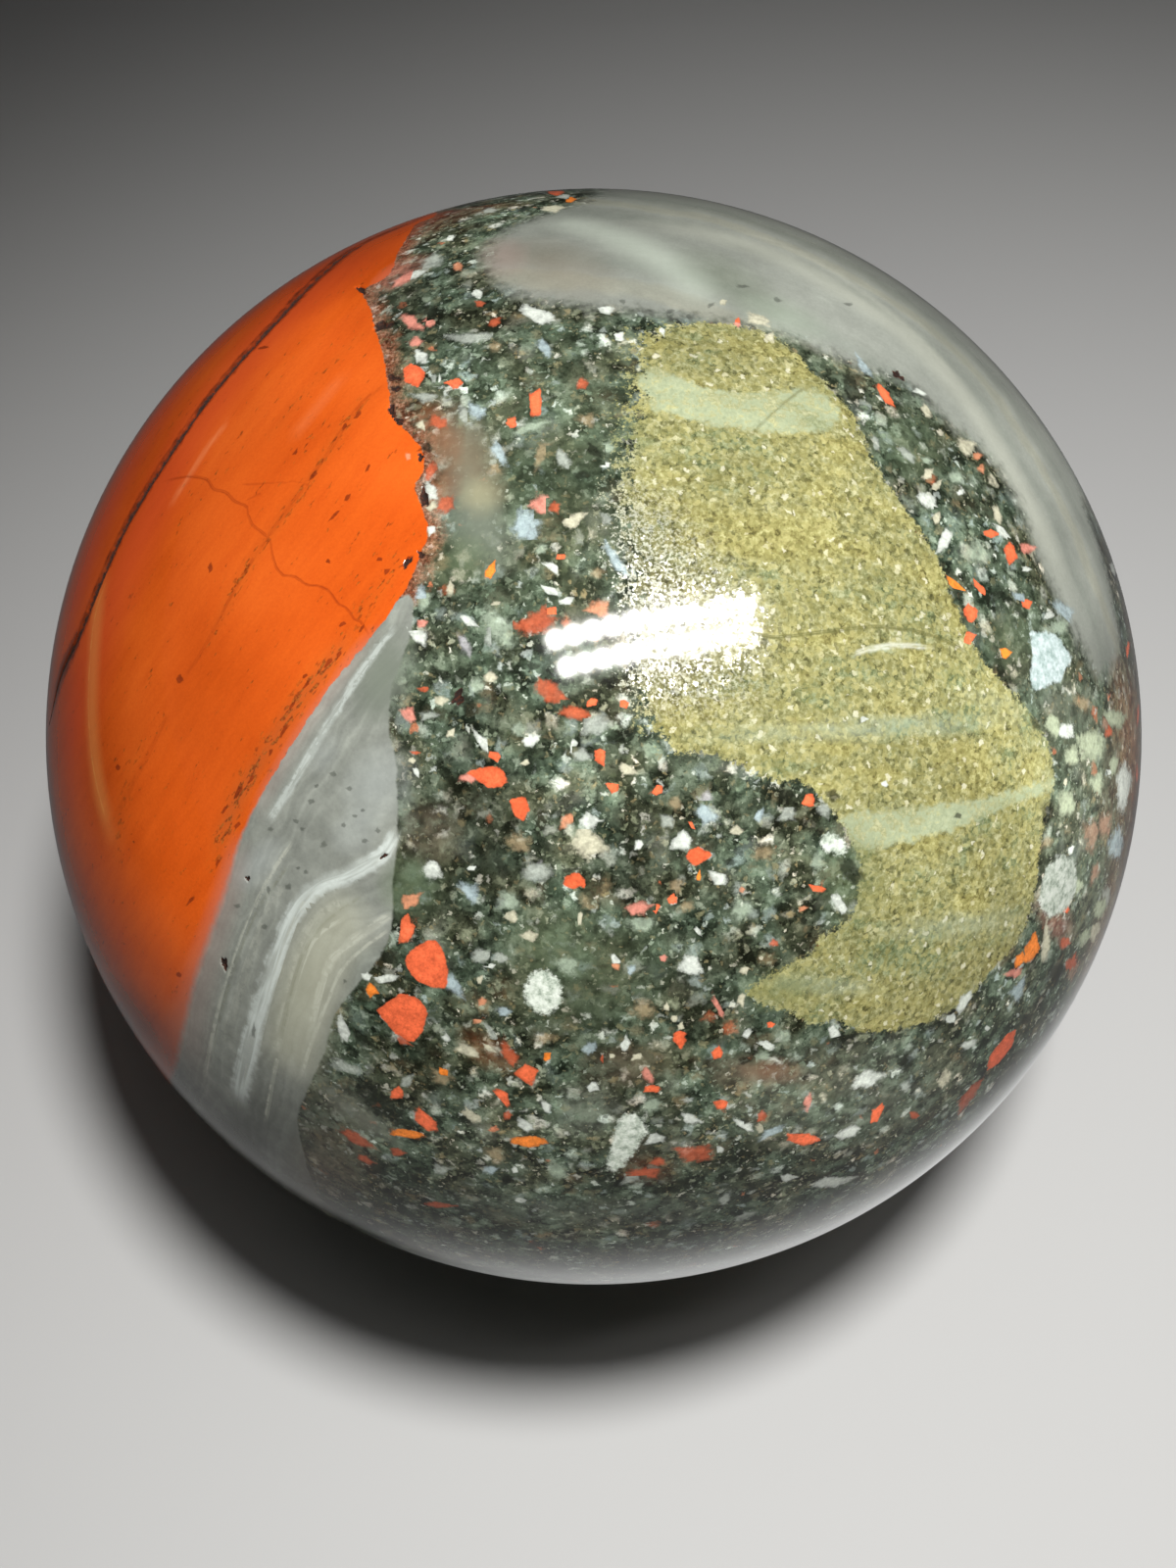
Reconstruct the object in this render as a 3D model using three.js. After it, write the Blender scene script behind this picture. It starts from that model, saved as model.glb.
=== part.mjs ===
// A polished ball of African bloodstone, in millimetres, +Z up.
// The origin is the middle of the small flat that the ball rests on.
// The stone is one solid piece: its red, green, grey and gold patches are colour
// in the stone and lie flush with the polish, so they take no shape here.
import * as THREE from "three";

const BALL_DIAMETER = 60;
// Where the ball rests, 0.15 mm is gone from it, so that it stands without rolling away.
const REST_FLAT_DIAMETER = 6;

const SIDES_AROUND = 72;
const BANDS_UP = 36;

const ballRadius = BALL_DIAMETER / 2;
const restRadius = REST_FLAT_DIAMETER / 2;
const centreHeight = Math.sqrt(ballRadius ** 2 - restRadius ** 2);

// Half of the ball's outline, from the middle of the flat, out along it and up round the arc to the top.
function ballProfile() {
  const flatEdge = Math.asin(restRadius / ballRadius);
  const points = [new THREE.Vector2(0, 0)];
  for (let band = 0; band < BANDS_UP; band++) {
    const turn = flatEdge + ((Math.PI - flatEdge) * band) / BANDS_UP;
    points.push(
      new THREE.Vector2(
        ballRadius * Math.sin(turn),
        centreHeight - ballRadius * Math.cos(turn),
      ),
    );
  }
  points[1].y = 0; // the flat is level to the last digit
  points.push(new THREE.Vector2(0, centreHeight + ballRadius));
  return points;
}

function makeBall() {
  const shape = new THREE.LatheGeometry(ballProfile(), SIDES_AROUND);
  shape.rotateX(Math.PI / 2); // the lathe turns about +Y, and the ball stands along +Z
  const stone = new THREE.MeshStandardMaterial({
    name: "bloodstone",
    color: new THREE.Color(0x3e463d),
    roughness: 0.08,
    metalness: 0,
  });
  const ball = new THREE.Mesh(shape, stone);
  ball.name = "ball";
  return ball;
}

const bloodstoneSphere = new THREE.Group();
bloodstoneSphere.name = "bloodstone_sphere";
bloodstoneSphere.add(makeBall());

export default bloodstoneSphere;
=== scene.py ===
# %% [markdown]
# # A polished ball of African bloodstone
# The real thing is one lump of stone, ground and polished to a ball 60 mm across. A red jasper
# field, grey banded chalcedony and an olive field full of pyrite are set in a dark green breccia,
# which is a stone made of broken chips. Nothing stands proud: the patches are colour in the stone.
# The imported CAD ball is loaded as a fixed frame, and a finer ball is modelled in its place.

# %% Load the frame
import math

import bpy
import numpy as np
from mathutils import Matrix, Quaternion, Vector
from mathutils.kdtree import KDTree


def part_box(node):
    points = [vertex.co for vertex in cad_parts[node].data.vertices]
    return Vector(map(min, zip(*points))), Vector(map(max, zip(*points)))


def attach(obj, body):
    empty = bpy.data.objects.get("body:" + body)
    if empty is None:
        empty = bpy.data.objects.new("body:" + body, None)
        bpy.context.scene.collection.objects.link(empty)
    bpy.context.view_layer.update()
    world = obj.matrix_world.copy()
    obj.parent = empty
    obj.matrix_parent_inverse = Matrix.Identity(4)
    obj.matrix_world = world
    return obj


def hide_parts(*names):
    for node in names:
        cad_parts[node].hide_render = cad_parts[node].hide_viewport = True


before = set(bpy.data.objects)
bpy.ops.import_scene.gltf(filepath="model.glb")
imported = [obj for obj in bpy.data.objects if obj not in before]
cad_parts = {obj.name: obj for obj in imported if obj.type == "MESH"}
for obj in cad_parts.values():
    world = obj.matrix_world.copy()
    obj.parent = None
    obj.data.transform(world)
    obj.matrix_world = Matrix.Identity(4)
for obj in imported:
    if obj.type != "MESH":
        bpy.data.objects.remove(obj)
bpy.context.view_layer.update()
MM = 0.001
REST_FLAT_RADIUS = 3 * MM
ball_low, ball_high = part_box("ball")
ball_height = ball_high.z - ball_low.z
ball_radius = (ball_height**2 + REST_FLAT_RADIUS**2) / (2 * ball_height)
ball_centre = Vector((0, 0, ball_high.z - ball_radius))
print(f"ball radius {ball_radius / MM:.2f} mm, centre {ball_centre.z / MM:.2f} mm up")

# %% [markdown]
# ## The camera
# The photograph looks steeply down from close by. Two measures settle the camera: the ball's
# outline is a circle of 559 pixels, and the lens sees 2403 pixels for each unit of slope. A ball
# hides its own rim, so the outline's size gives the distance. The camera is first pointed at the
# ball's centre and then turned a little, so that the ball lies where it does in the picture.

# %% Camera
PHOTO_WIDTH, PHOTO_HEIGHT = 1200, 1600
FOCAL_PX = 2403.0
SENSOR_MM = 36.0
NEAREST_SEEN = 10 * MM
CAMERA_ELEVATION = math.radians(62)
OUTLINE_MIDDLE = np.array((605.5, 754.0))
OUTLINE_RADIUS = 559.0

camera_reach = math.hypot(FOCAL_PX, OUTLINE_RADIUS) / OUTLINE_RADIUS  # in ball radii
toward_camera = Vector((0, -math.cos(CAMERA_ELEVATION), math.sin(CAMERA_ELEVATION)))
photo_right = Vector((1, 0, 0))
photo_up = Vector((0, math.sin(CAMERA_ELEVATION), math.cos(CAMERA_ELEVATION)))


def make_camera():
    settings = bpy.data.cameras.new("camera")
    settings.sensor_width = SENSOR_MM
    settings.lens = SENSOR_MM * FOCAL_PX / PHOTO_HEIGHT
    settings.clip_start = NEAREST_SEEN
    camera = bpy.data.objects.new("camera", settings)
    bpy.context.scene.collection.objects.link(camera)
    sideways = math.atan((OUTLINE_MIDDLE[0] - PHOTO_WIDTH / 2) / FOCAL_PX)
    downwards = math.atan((PHOTO_HEIGHT / 2 - OUTLINE_MIDDLE[1]) / FOCAL_PX)
    look = (-toward_camera).to_track_quat("-Z", "Y")
    turn = look @ Quaternion((0, 1, 0), sideways) @ Quaternion((1, 0, 0), -downwards)
    camera.location = ball_centre + toward_camera * camera_reach * ball_radius
    camera.rotation_euler = turn.to_euler()
    bpy.context.scene.camera = camera
    return camera


camera = make_camera()
print("camera at", [round(v / MM, 1) for v in camera.location], "mm")

# %% [markdown]
# ## From the picture to the ball
# Every patch and chip is placed by its pixel in the picture, as a mark on a flat plan. This cell
# turns a pixel into a point on the ball and back. Inside the outline the plan is the picture.
# Past the outline it runs on round the hidden side, so that one outline can pass over the rim.

# %% Plan of the stone
SMALLEST = 1e-9  # keeps a division by 0 away
rim_angle = math.acos(1 / camera_reach)  # between the middle of the view and the outline
toward, right, up = (np.array(v) for v in (toward_camera, photo_right, photo_up))


def on_ball(spots):
    """Points on the ball, in metres from its centre, for pixels of the plan."""
    offset = np.atleast_2d(np.array(spots, float)) - OUTLINE_MIDDLE
    reach = np.hypot(offset[:, 0], offset[:, 1])
    slope = np.arctan(np.minimum(reach, OUTLINE_RADIUS) / FOCAL_PX)
    seen = np.arcsin(np.clip(camera_reach * np.sin(slope), -1, 1)) - slope
    hidden = rim_angle + (reach / OUTLINE_RADIUS - 1) * (math.pi - rim_angle)
    angle = np.where(reach < OUTLINE_RADIUS, seen, hidden)[:, None]
    way = offset / np.maximum(reach, SMALLEST)[:, None]
    side = way[:, :1] * right - way[:, 1:] * up
    return (np.cos(angle) * toward + np.sin(angle) * side) * ball_radius


def on_plan(points):
    """Pixels of the plan for points in metres from the ball's centre."""
    away = points / np.linalg.norm(points, axis=1)[:, None]
    angle = np.arccos(np.clip(away @ toward, -1, 1))
    seen = FOCAL_PX * np.sin(angle) / (camera_reach - np.cos(angle))
    hidden = OUTLINE_RADIUS * (1 + (angle - rim_angle) / (math.pi - rim_angle))
    reach = np.where(angle < rim_angle, seen, hidden)
    side = np.stack([away @ right, -(away @ up)], axis=1)
    return OUTLINE_MIDDLE + side * (reach / np.maximum(np.hypot(*side.T), SMALLEST))[:, None]


def smooth_route(stops, closed=False, spacing=1.0):
    """A smooth curve through the stops, as points that are about spacing pixels apart."""
    stops = np.array(stops, float)
    if closed:
        stops = np.concatenate([stops[-1:], stops, stops[:2]])
    else:
        stops = np.concatenate([2 * stops[:1] - stops[1:2], stops, 2 * stops[-1:] - stops[-2:-1]])
    spans = []
    for a, b, c, d in zip(stops, stops[1:], stops[2:], stops[3:]):
        t = np.linspace(0, 1, max(2, int(np.hypot(*(c - b)) / spacing)), endpoint=False)[:, None]
        bend = (2 * a - 5 * b + 4 * c - d) * t**2 + (3 * b - a - 3 * c + d) * t**3
        spans.append(b + ((c - a) * t + bend) / 2)
    return np.concatenate(spans)


def nearest(route, points):
    """For each point, the number of the nearest route point and the distance to it."""
    tree = KDTree(len(route))
    for number, spot in enumerate(route):
        tree.insert(spot, number)
    tree.balance()
    found = [tree.find(point)[1:] for point in points]
    return np.array([f[0] for f in found], int), np.array([f[1] for f in found])


print("the middle of the picture is", on_ball((600, 800)).round(4)[0], "m from the ball's centre")

# %% [markdown]
# ## The stone's parts
# Each part of the stone has an outline on the plan, as pixel stops. The outlines follow the picture,
# and past the rim, where nothing is seen, they are closed as such patches usually are. A few chips are
# large enough to have outlines of their own.

# %% Outlines of the parts
JASPER = [
    (446, 212), (425, 232), (408, 258), (396, 284), (372, 298), (379, 318), (384, 340), (392, 365),
    (397, 398), (402, 425), (416, 442), (430, 458), (433, 480), (424, 496), (431, 520), (437, 540),
    (430, 565), (415, 600), (398, 625), (378, 652), (338, 699), (304, 750), (273, 800), (247, 850),
    (232, 900), (215, 950), (198, 1000), (186, 1050), (168, 1110), (110, 1180), (0, 1160), (-120, 1030),
    (-220, 830), (-250, 600), (-200, 380), (-80, 190), (100, 80), (280, 60), (400, 130),
]
WEDGE = [
    (413, 608), (420, 640), (412, 668), (400, 700), (397, 745), (404, 780), (406, 835), (404, 868),
    (400, 905), (400, 940), (388, 975), (362, 1008), (340, 1038), (330, 1075), (312, 1115), (303, 1145),
    (312, 1190), (326, 1240), (310, 1330), (230, 1400), (110, 1370), (50, 1270), (60, 1180), (150, 1080),
    (170, 1000), (200, 900), (250, 780), (330, 670),
]
LENS = [
    (496, 262), (506, 286), (530, 303), (575, 312), (640, 318), (700, 327), (770, 334), (812, 347),
    (862, 370), (925, 392), (962, 428), (1002, 460), (1028, 492), (1045, 530), (1060, 572), (1082, 618),
    (1100, 655), (1122, 690), (1142, 668), (1136, 620), (1122, 565), (1104, 515), (1108, 470),
    (1150, 420), (1170, 320), (1110, 190), (990, 80), (850, 20), (710, 60), (650, 140), (612, 198),
    (565, 218), (520, 236),
]
PYRITE = [
    (648, 378), (643, 402), (646, 428), (634, 480), (633, 515), (640, 580), (645, 660), (652, 715),
    (672, 748), (697, 768), (722, 767), (748, 778), (790, 795), (820, 800), (850, 828), (864, 852),
    (877, 880), (873, 925), (858, 945), (836, 958), (824, 977), (798, 988), (764, 1012), (778, 1025),
    (806, 1034), (830, 1046), (852, 1040), (880, 1052), (912, 1051), (945, 1044), (985, 1022), (1012, 991),
    (1042, 955), (1056, 912), (1064, 845), (1075, 800), (1071, 765), (1056, 735), (1030, 704), (1008, 682),
    (982, 638), (962, 585), (944, 550), (912, 505), (888, 468), (866, 420), (828, 380), (790, 346),
    (735, 332), (690, 334), (656, 350),
]
PALE_BANDS = [
    [
        (651, 392), (664, 376), (690, 384), (722, 397), (760, 402), (800, 400), (824, 396), (842, 406),
        (858, 425), (838, 441), (795, 443), (735, 437), (700, 428), (668, 418),
    ],
    [(866, 669), (890, 660), (916, 656), (942, 660), (918, 664), (888, 667)],
    [
        (856, 838), (880, 829), (950, 823), (1002, 814), (1040, 803), (1074, 796), (1070, 807),
        (1036, 820), (1004, 836), (958, 851), (915, 861), (880, 867), (864, 856),
    ],
]
CHIPS = {
    "red": [
        [(411, 979), (430, 962), (446, 958), (453, 975), (457, 990), (455, 1009), (440, 1008), (422, 1000)],
        [(383, 1033), (396, 1022), (410, 1013), (428, 1019), (436, 1034), (430, 1054), (420, 1066),
         (402, 1054)],
        [(472, 790), (485, 786), (494, 781), (510, 783), (521, 795), (512, 804), (495, 803), (485, 795)],
        [(519, 818), (527, 812), (537, 813), (540, 830), (536, 839), (525, 833)],
        [(571, 898), (582, 891), (592, 890), (598, 900), (596, 908), (580, 906)],
        [(698, 870), (712, 864), (722, 868), (728, 875), (716, 880), (707, 886), (702, 876)],
        [(684, 1058), (692, 1053), (702, 1051), (701, 1064), (695, 1071)],
        [(1006, 1094), (1012, 1076), (1028, 1056), (1038, 1050), (1034, 1068), (1020, 1086)],
        [(412, 378), (420, 372), (433, 378), (436, 390), (424, 398), (414, 390)],
    ],
    "white": [
        [(536, 1005), (545, 993), (560, 990), (572, 1002), (573, 1022), (562, 1035), (546, 1034),
         (536, 1022)],
        [(1068, 885), (1084, 873), (1098, 880), (1099, 908), (1088, 930), (1070, 938), (1060, 920),
         (1064, 900)],
        [(837, 856), (846, 849), (862, 857), (866, 868), (856, 874), (842, 868)],
        [(618, 1196), (624, 1172), (628, 1150), (640, 1136), (655, 1139), (660, 1156), (648, 1176),
         (630, 1197)],
    ],
    "blue": [
        [(1050, 645), (1075, 645), (1094, 672), (1080, 695), (1062, 702), (1055, 708), (1050, 690),
         (1054, 668)],
    ],
}
print("outlines: 4 parts,", len(PALE_BANDS), "bands and", sum(len(c) for c in CHIPS.values()), "chips")

# %% [markdown]
# ## Cracks, veins and pits
# The jasper has one long open crack, a few healed ones and rows of dark specks. Where it meets the
# green stone, small hollows are left. The open crack and the hollows are real shapes, cut into the
# ball below, and the crack's walls are coloured as the first vein. The healed cracks and the white
# veins of the chalcedony are only colour.

# %% Cracks, veins and pits
LONG_CRACK = [
    (432, 224), (365, 254), (322, 288), (282, 330), (245, 370), (210, 412), (182, 452), (152, 498),
    (126, 543), (102, 596), (80, 650), (62, 690), (50, 740),
]
LONG_CRACK_HALF_WIDTH_MM = 0.3
LONG_CRACK_DEPTH_MM = 0.2

WEDGE_BAND = [
    (406, 842), (394, 868), (376, 881), (352, 894), (325, 905), (304, 926), (290, 955), (278, 992),
    (262, 1040), (250, 1085), (240, 1130),
]

# Each vein is its colour, its half width in pixels, its strength and its stops.
VEINS = [
    ("crack deep", 10.0, 0.85, LONG_CRACK),
    ("vein white", 4.6, 0.5, [(404, 640), (384, 664), (345, 722), (328, 750), (295, 805), (273, 840)]),
    ("vein white", 8.0, 0.85, WEDGE_BAND),
    ("vein cream", 4.0, 0.25, [(352, 918), (328, 932), (312, 954), (301, 987), (290, 1030), (280, 1080)]),
    ("vein cream", 4.0, 0.45, [(402, 931), (373, 951), (346, 972), (333, 990), (325, 1020), (318, 1050)]),
    ("vein cream", 6.0, 0.18, [(290, 900), (268, 936), (255, 975), (240, 1020), (228, 1070)]),
    ("vein cream", 2.0, 0.4, [(300, 856), (272, 900), (249, 950), (231, 1002), (217, 1052), (206, 1110)]),
    ("vein cream", 1.8, 0.45, [(352, 936), (322, 958), (303, 1000), (290, 1045), (278, 1100), (269, 1150)]),
    ("vein cream", 1.6, 0.4, [(398, 948), (368, 970), (347, 992), (334, 1022), (318, 1062), (306, 1100)]),
    ("crack dark", 1.8, 0.22, [(296, 880), (262, 930), (241, 980), (226, 1030), (214, 1080)]),
    ("crack dark", 1.6, 0.2, [(372, 912), (336, 938), (312, 968), (297, 1010), (286, 1060)]),
    ("crack brown", 1.3, 0.7, [
        (164, 493), (176, 490), (191, 487), (204, 488), (213, 491), (219, 500), (231, 503), (240, 512),
        (252, 517), (253, 523), (258, 536), (267, 543), (276, 552), (278, 564), (283, 580), (291, 588),
        (301, 588), (313, 597), (325, 598), (337, 604), (345, 616), (355, 621), (361, 631), (370, 636),
        (379, 653),
    ]),
    ("crack brown", 1.1, 0.55, [(252, 516), (253, 511), (258, 508)]),
    ("crack brown", 1.0, 0.4, [(247, 495), (285, 493), (300, 492), (320, 497)]),
    ("crack brown", 3.4, 0.42, [
        (396, 392), (372, 410), (352, 436), (338, 458), (318, 487), (300, 512), (280, 540), (262, 566),
    ]),
    ("crack brown", 2.6, 0.4, [(262, 566), (240, 602), (222, 636), (204, 668), (188, 692)]),
    ("crack brown", 3.0, 0.3, [(172, 728), (152, 768), (134, 802), (120, 830)]),
    ("crack tan", 1.8, 0.3, [(110, 590), (97, 630), (91, 690), (91, 745), (97, 795), (108, 838)]),
    ("crack brown", 2.4, 0.6, [
        (60, 420), (30, 470), (-10, 500), (-30, 560), (-70, 600), (-80, 670), (-120, 720), (-130, 790),
    ]),
    ("crack brown", 5.0, 0.45, [(20, 960), (-40, 900), (-100, 800), (-140, 690), (-160, 560)]),
    ("crack brown", 2.6, 0.65, [
        (-10, 360), (-60, 400), (-90, 470), (-140, 500), (-170, 570), (-190, 600), (-185, 680), (-200, 730),
    ]),
    ("vein cream", 2.6, 0.6, [(-170, 470), (-130, 540), (-120, 600), (-80, 660), (-70, 740), (-20, 800)]),
    ("crack tan", 4.0, 0.5, [(-110, 330), (-160, 430), (-195, 540), (-205, 650), (-180, 770)]),
    ("crack brown", 2.2, 0.6, [(-90, 790), (-50, 820), (-35, 880), (5, 905), (20, 960), (60, 990)]),
    ("crack brown", 2.4, 0.6, [(150, 250), (112, 300), (92, 350), (52, 400), (34, 470), (42, 540)]),
    ("crack dark", 1.6, 0.5, [(824, 394), (798, 414), (770, 440), (750, 462), (738, 482)]),
    ("crack dark", 1.2, 0.45, [(930, 920), (922, 945), (906, 975), (898, 1000), (884, 1026)]),
    ("crack dark", 2.2, 0.8, [(745, 640), (790, 650), (850, 644), (905, 640), (955, 650), (990, 668)]),
    ("vein cream", 2.8, 0.8, [(873, 667), (890, 662), (914, 659), (942, 660)]),
]

# Each pit is its place, its length and width in pixels, its turn in degrees and its depth in mm.
PITS = [
    (369, 297, 11, 6, -35, 0.12), (391, 333, 20, 9, 10, 0.22), (402, 386, 16, 6, -15, 0.15),
    (404, 397, 12, 6, 0, 0.12), (400, 419, 7, 16, 15, 0.15), (407, 430, 12, 7, -30, 0.12),
    (433, 508, 9, 20, 8, 0.2), (430, 566, 7, 9, 30, 0.12), (429, 467, 6, 9, 0, 0.12),
    (228, 984, 6, 14, 15, 0.12), (252, 897, 5, 5, 0, 0.1), (416, 574, 6, 14, -40, 0.08),
    (391, 874, 10, 4, 35, 0.08), (467, 712, 12, 18, -20, 0.12), (916, 384, 16, 6, -35, 0.1),
]
print(len(VEINS), "veins and", len(PITS), "pits")

# %% [markdown]
# ## The ball's mesh
# A ball could start as a UV sphere, but its faces crowd at the poles. A cube that is subdivided and
# cast to a sphere has even faces, and its edges lie on the three middle planes, which the texture
# map needs later. It is cut and cast again in turns, because one big cut would leave uneven faces.

# %% Round the ball
FIRST_CUTS = 6
DOUBLINGS = 4


def select_only(thing):
    bpy.ops.object.select_all(action="DESELECT")
    thing.select_set(True)
    bpy.context.view_layer.objects.active = thing


def cast_to_ball(thing):
    cast = thing.modifiers.new("round", "CAST")
    cast.cast_type = "SPHERE"
    cast.factor = 1
    cast.size = ball_radius
    cast.use_radius_as_size = False
    bpy.ops.object.modifier_apply(modifier=cast.name)


def cut_faces(chosen, cuts):
    """Subdivides the chosen faces of the active mesh: all of them where chosen is None."""
    mesh = bpy.context.object.data
    bpy.ops.object.mode_set(mode="EDIT")
    bpy.ops.mesh.select_mode(type="FACE")
    bpy.ops.mesh.select_all(action="DESELECT" if chosen is not None else "SELECT")
    if chosen is not None:
        bpy.ops.object.mode_set(mode="OBJECT")
        mesh.polygons.foreach_set("select", chosen)
        bpy.ops.object.mode_set(mode="EDIT")
    bpy.ops.mesh.subdivide(number_cuts=cuts)
    bpy.ops.object.mode_set(mode="OBJECT")


def make_round_ball():
    bpy.ops.object.select_all(action="DESELECT")
    bpy.ops.mesh.primitive_cube_add(size=2 * ball_radius, location=(0, 0, 0))
    ball = bpy.context.object
    ball.name = ball.data.name = "bloodstone_ball"
    select_only(ball)
    cut_faces(None, FIRST_CUTS)
    cast_to_ball(ball)
    for _ in range(DOUBLINGS):
        cut_faces(None, 1)
        cast_to_ball(ball)
    return ball


def corners_of(mesh):
    places = np.empty(len(mesh.vertices) * 3)
    mesh.vertices.foreach_get("co", places)
    return places.reshape(-1, 3)


def face_middles(mesh):
    middles = np.empty(len(mesh.polygons) * 3)
    mesh.polygons.foreach_get("center", middles)
    return middles.reshape(-1, 3)


ball = make_round_ball()
print("round ball:", len(ball.data.polygons), "faces")

# %% [markdown]
# ## Cut the crack and the pits
# Faces near the crack and the pits are cut finer first, so that a groove a few tenths of a millimetre
# wide has points of its own. The finer faces are cast round again, because a cut leaves them flat,
# and a polished ball shows every flat in its reflections. Then the points sink into the stone.

# %% Cut the crack and the pits
FINE_MARGIN = 0.45 * MM
FINEST_MARGIN = 0.2 * MM
PIT_RIM, PIT_FLOOR = 1.15, 0.55  # where a pit's slope starts and ends, in its half lengths
CRACK_TAPER = 1 / 6  # the share of the crack's length over which each end runs out
CRACK_TIP_WIDTH = 0.35  # as a share of its full width

crack_route = on_ball(smooth_route(LONG_CRACK))


def ramp(values, zero, one):
    """0 at one value, 1 at the other and straight between them."""
    return np.clip((values - zero) / (one - zero), 0, 1)


def frame_of(x, y, length, width, turn=0):
    """A chip's middle on the ball, what turns an offset into parts of its half axes, and its size."""
    angle = math.radians(turn)
    along = np.array((math.cos(angle), -math.sin(angle)))
    across = np.array((math.sin(angle), math.cos(angle)))
    ends = [(x, y) + along * length / 2, (x, y) - along * length / 2]
    sides = [(x, y) + across * width / 2, (x, y) - across * width / 2]
    middle, a, b, c, d = on_ball([(x, y), *ends, *sides])
    half_axes = np.stack([(a - b) / 2, (c - d) / 2], axis=1)
    return middle, np.linalg.pinv(half_axes), max(np.linalg.norm(a - b), np.linalg.norm(c - d)) / 2


def near_cuts(points, margin):
    """Which points lie within the margin of the crack or of a pit."""
    close = nearest(crack_route, points)[1] < LONG_CRACK_HALF_WIDTH_MM * MM + margin
    for *shape, _ in PITS:
        middle, _, size = frame_of(*shape)
        close |= np.linalg.norm(points - middle, axis=1) < size + margin
    return close


def pit_depths(points):
    """How far each point sinks into the pits, in metres, and how deep in a pit it lies, 0 to 1."""
    sunk = np.zeros(len(points))
    share = np.zeros(len(points))
    for number, (*shape, depth_mm) in enumerate(PITS):
        middle, to_parts, _ = frame_of(*shape)
        parts = (points - middle) @ to_parts.T
        round_it = np.arctan2(parts[:, 1], parts[:, 0])
        # Two waves run round the rim, so that no pit is a plain oval.
        ripple = 1 + 0.2 * np.sin(3 * round_it + number) + 0.16 * np.sin(5 * round_it + 2.6 * number)
        bowl = ramp(np.linalg.norm(parts, axis=1) / ripple, PIT_RIM, PIT_FLOOR)
        bowl = bowl * bowl * (3 - 2 * bowl)
        sunk = np.maximum(sunk, bowl * depth_mm * MM)
        share = np.maximum(share, bowl)
    return sunk, share


def crack_depths(points):
    """The same for the long crack, which runs out to nothing at its two ends."""
    number, distance = nearest(crack_route, points)
    from_end = np.minimum(number, len(crack_route) - 1 - number) / len(crack_route)
    ends = np.minimum(1, from_end / CRACK_TAPER)
    width = LONG_CRACK_HALF_WIDTH_MM * MM * (CRACK_TIP_WIDTH + (1 - CRACK_TIP_WIDTH) * ends)
    share = ramp(distance / width, 1, 0)
    return share * LONG_CRACK_DEPTH_MM * MM * ends, share


def cut_stone(ball):
    cut_faces(near_cuts(face_middles(ball.data), FINE_MARGIN), 1)
    cut_faces(near_cuts(face_middles(ball.data), FINEST_MARGIN), 2)
    cast_to_ball(ball)
    points = corners_of(ball.data)
    pit, pit_share = pit_depths(points)
    crack, crack_share = crack_depths(points)
    depth = np.maximum(pit, crack)
    away = points / np.linalg.norm(points, axis=1)[:, None]
    ball.data.vertices.foreach_set("co", (points - away * depth[:, None]).ravel())
    print("cut ball:", len(ball.data.polygons), "faces, deepest cut", round(depth.max() / MM, 2), "mm")
    return np.maximum(pit_share, crack_share), points


hollow_share, round_points = cut_stone(ball)

# %% [markdown]
# ## Stand the ball up
# The mesh is moved up in edit mode, so that the object itself stays at the origin, unturned and
# unscaled. The lowest points are pressed level at the floor, as the CAD ball's small flat is.

# %% Stand the ball up
def stand_up(ball):
    select_only(ball)
    bpy.ops.object.mode_set(mode="EDIT")
    bpy.ops.mesh.select_all(action="SELECT")
    bpy.ops.transform.translate(value=ball_centre)
    bpy.ops.mesh.select_all(action="DESELECT")
    bpy.ops.object.mode_set(mode="OBJECT")
    for corner in ball.data.vertices:
        corner.select = corner.co.z < 0
    bpy.ops.object.mode_set(mode="EDIT")
    bpy.ops.mesh.select_mode(type="VERT")
    bpy.ops.transform.resize(value=(1, 1, 0), center_override=(0, 0, 0))
    bpy.ops.object.mode_set(mode="OBJECT")
    bpy.ops.object.shade_smooth()
    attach(ball, "root")
    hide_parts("ball")


stand_up(ball)
heights = corners_of(ball.data)[:, 2]
print(f"ball from {heights.min() / MM:.2f} to {heights.max() / MM:.2f} mm")

# %% [markdown]
# ## Mark the parts on the mesh
# A texture painted by hand would be cut off by its pixels. Instead each point of the mesh is told
# how deep inside a part's outline it lies, in millimetres, with minus signs outside. A shader can
# turn that into an edge that is as sharp, as soft or as ragged as the real one.

# %% Depth inside an outline
FAR_MM = 3.0
STEPS_PER_SIDE = 24
COARSE_STEP = 6


def is_inside(outline, spots):
    inside = np.zeros(len(spots), bool)
    for (x0, y0), (x1, y1) in zip(outline, np.roll(outline, -1, axis=0)):
        if y0 != y1:
            crosses = (y0 > spots[:, 1]) != (y1 > spots[:, 1])
            inside ^= crosses & (spots[:, 0] < (x1 - x0) * (spots[:, 1] - y0) / (y1 - y0) + x0)
    return inside


def straight_route(outline):
    stops = np.array(outline, float)
    steps = np.linspace(0, 1, STEPS_PER_SIDE, endpoint=False)[:, None]
    return np.concatenate([a + (b - a) * steps for a, b in zip(stops, np.roll(stops, -1, axis=0))])


def depth_inside(outline, rounded=True):
    """Millimetres from the outline for every mesh point, positive inside it."""
    route = smooth_route(outline, closed=True) if rounded else straight_route(outline)
    coarse = route[::COARSE_STEP] if rounded else np.array(outline, float)
    rim = on_ball(route)
    middle = rim.mean(axis=0)
    reach = np.linalg.norm(rim - middle, axis=1).max() + FAR_MM * MM
    close = np.flatnonzero(np.linalg.norm(round_points - middle, axis=1) < reach)
    distance = nearest(rim, round_points[close])[1] / MM
    signs = np.where(is_inside(coarse, plan_points[close]), 1, -1)
    depth = np.full(len(round_points), -FAR_MM)
    depth[close] = np.clip(distance * signs, -FAR_MM, None)
    return depth


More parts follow.
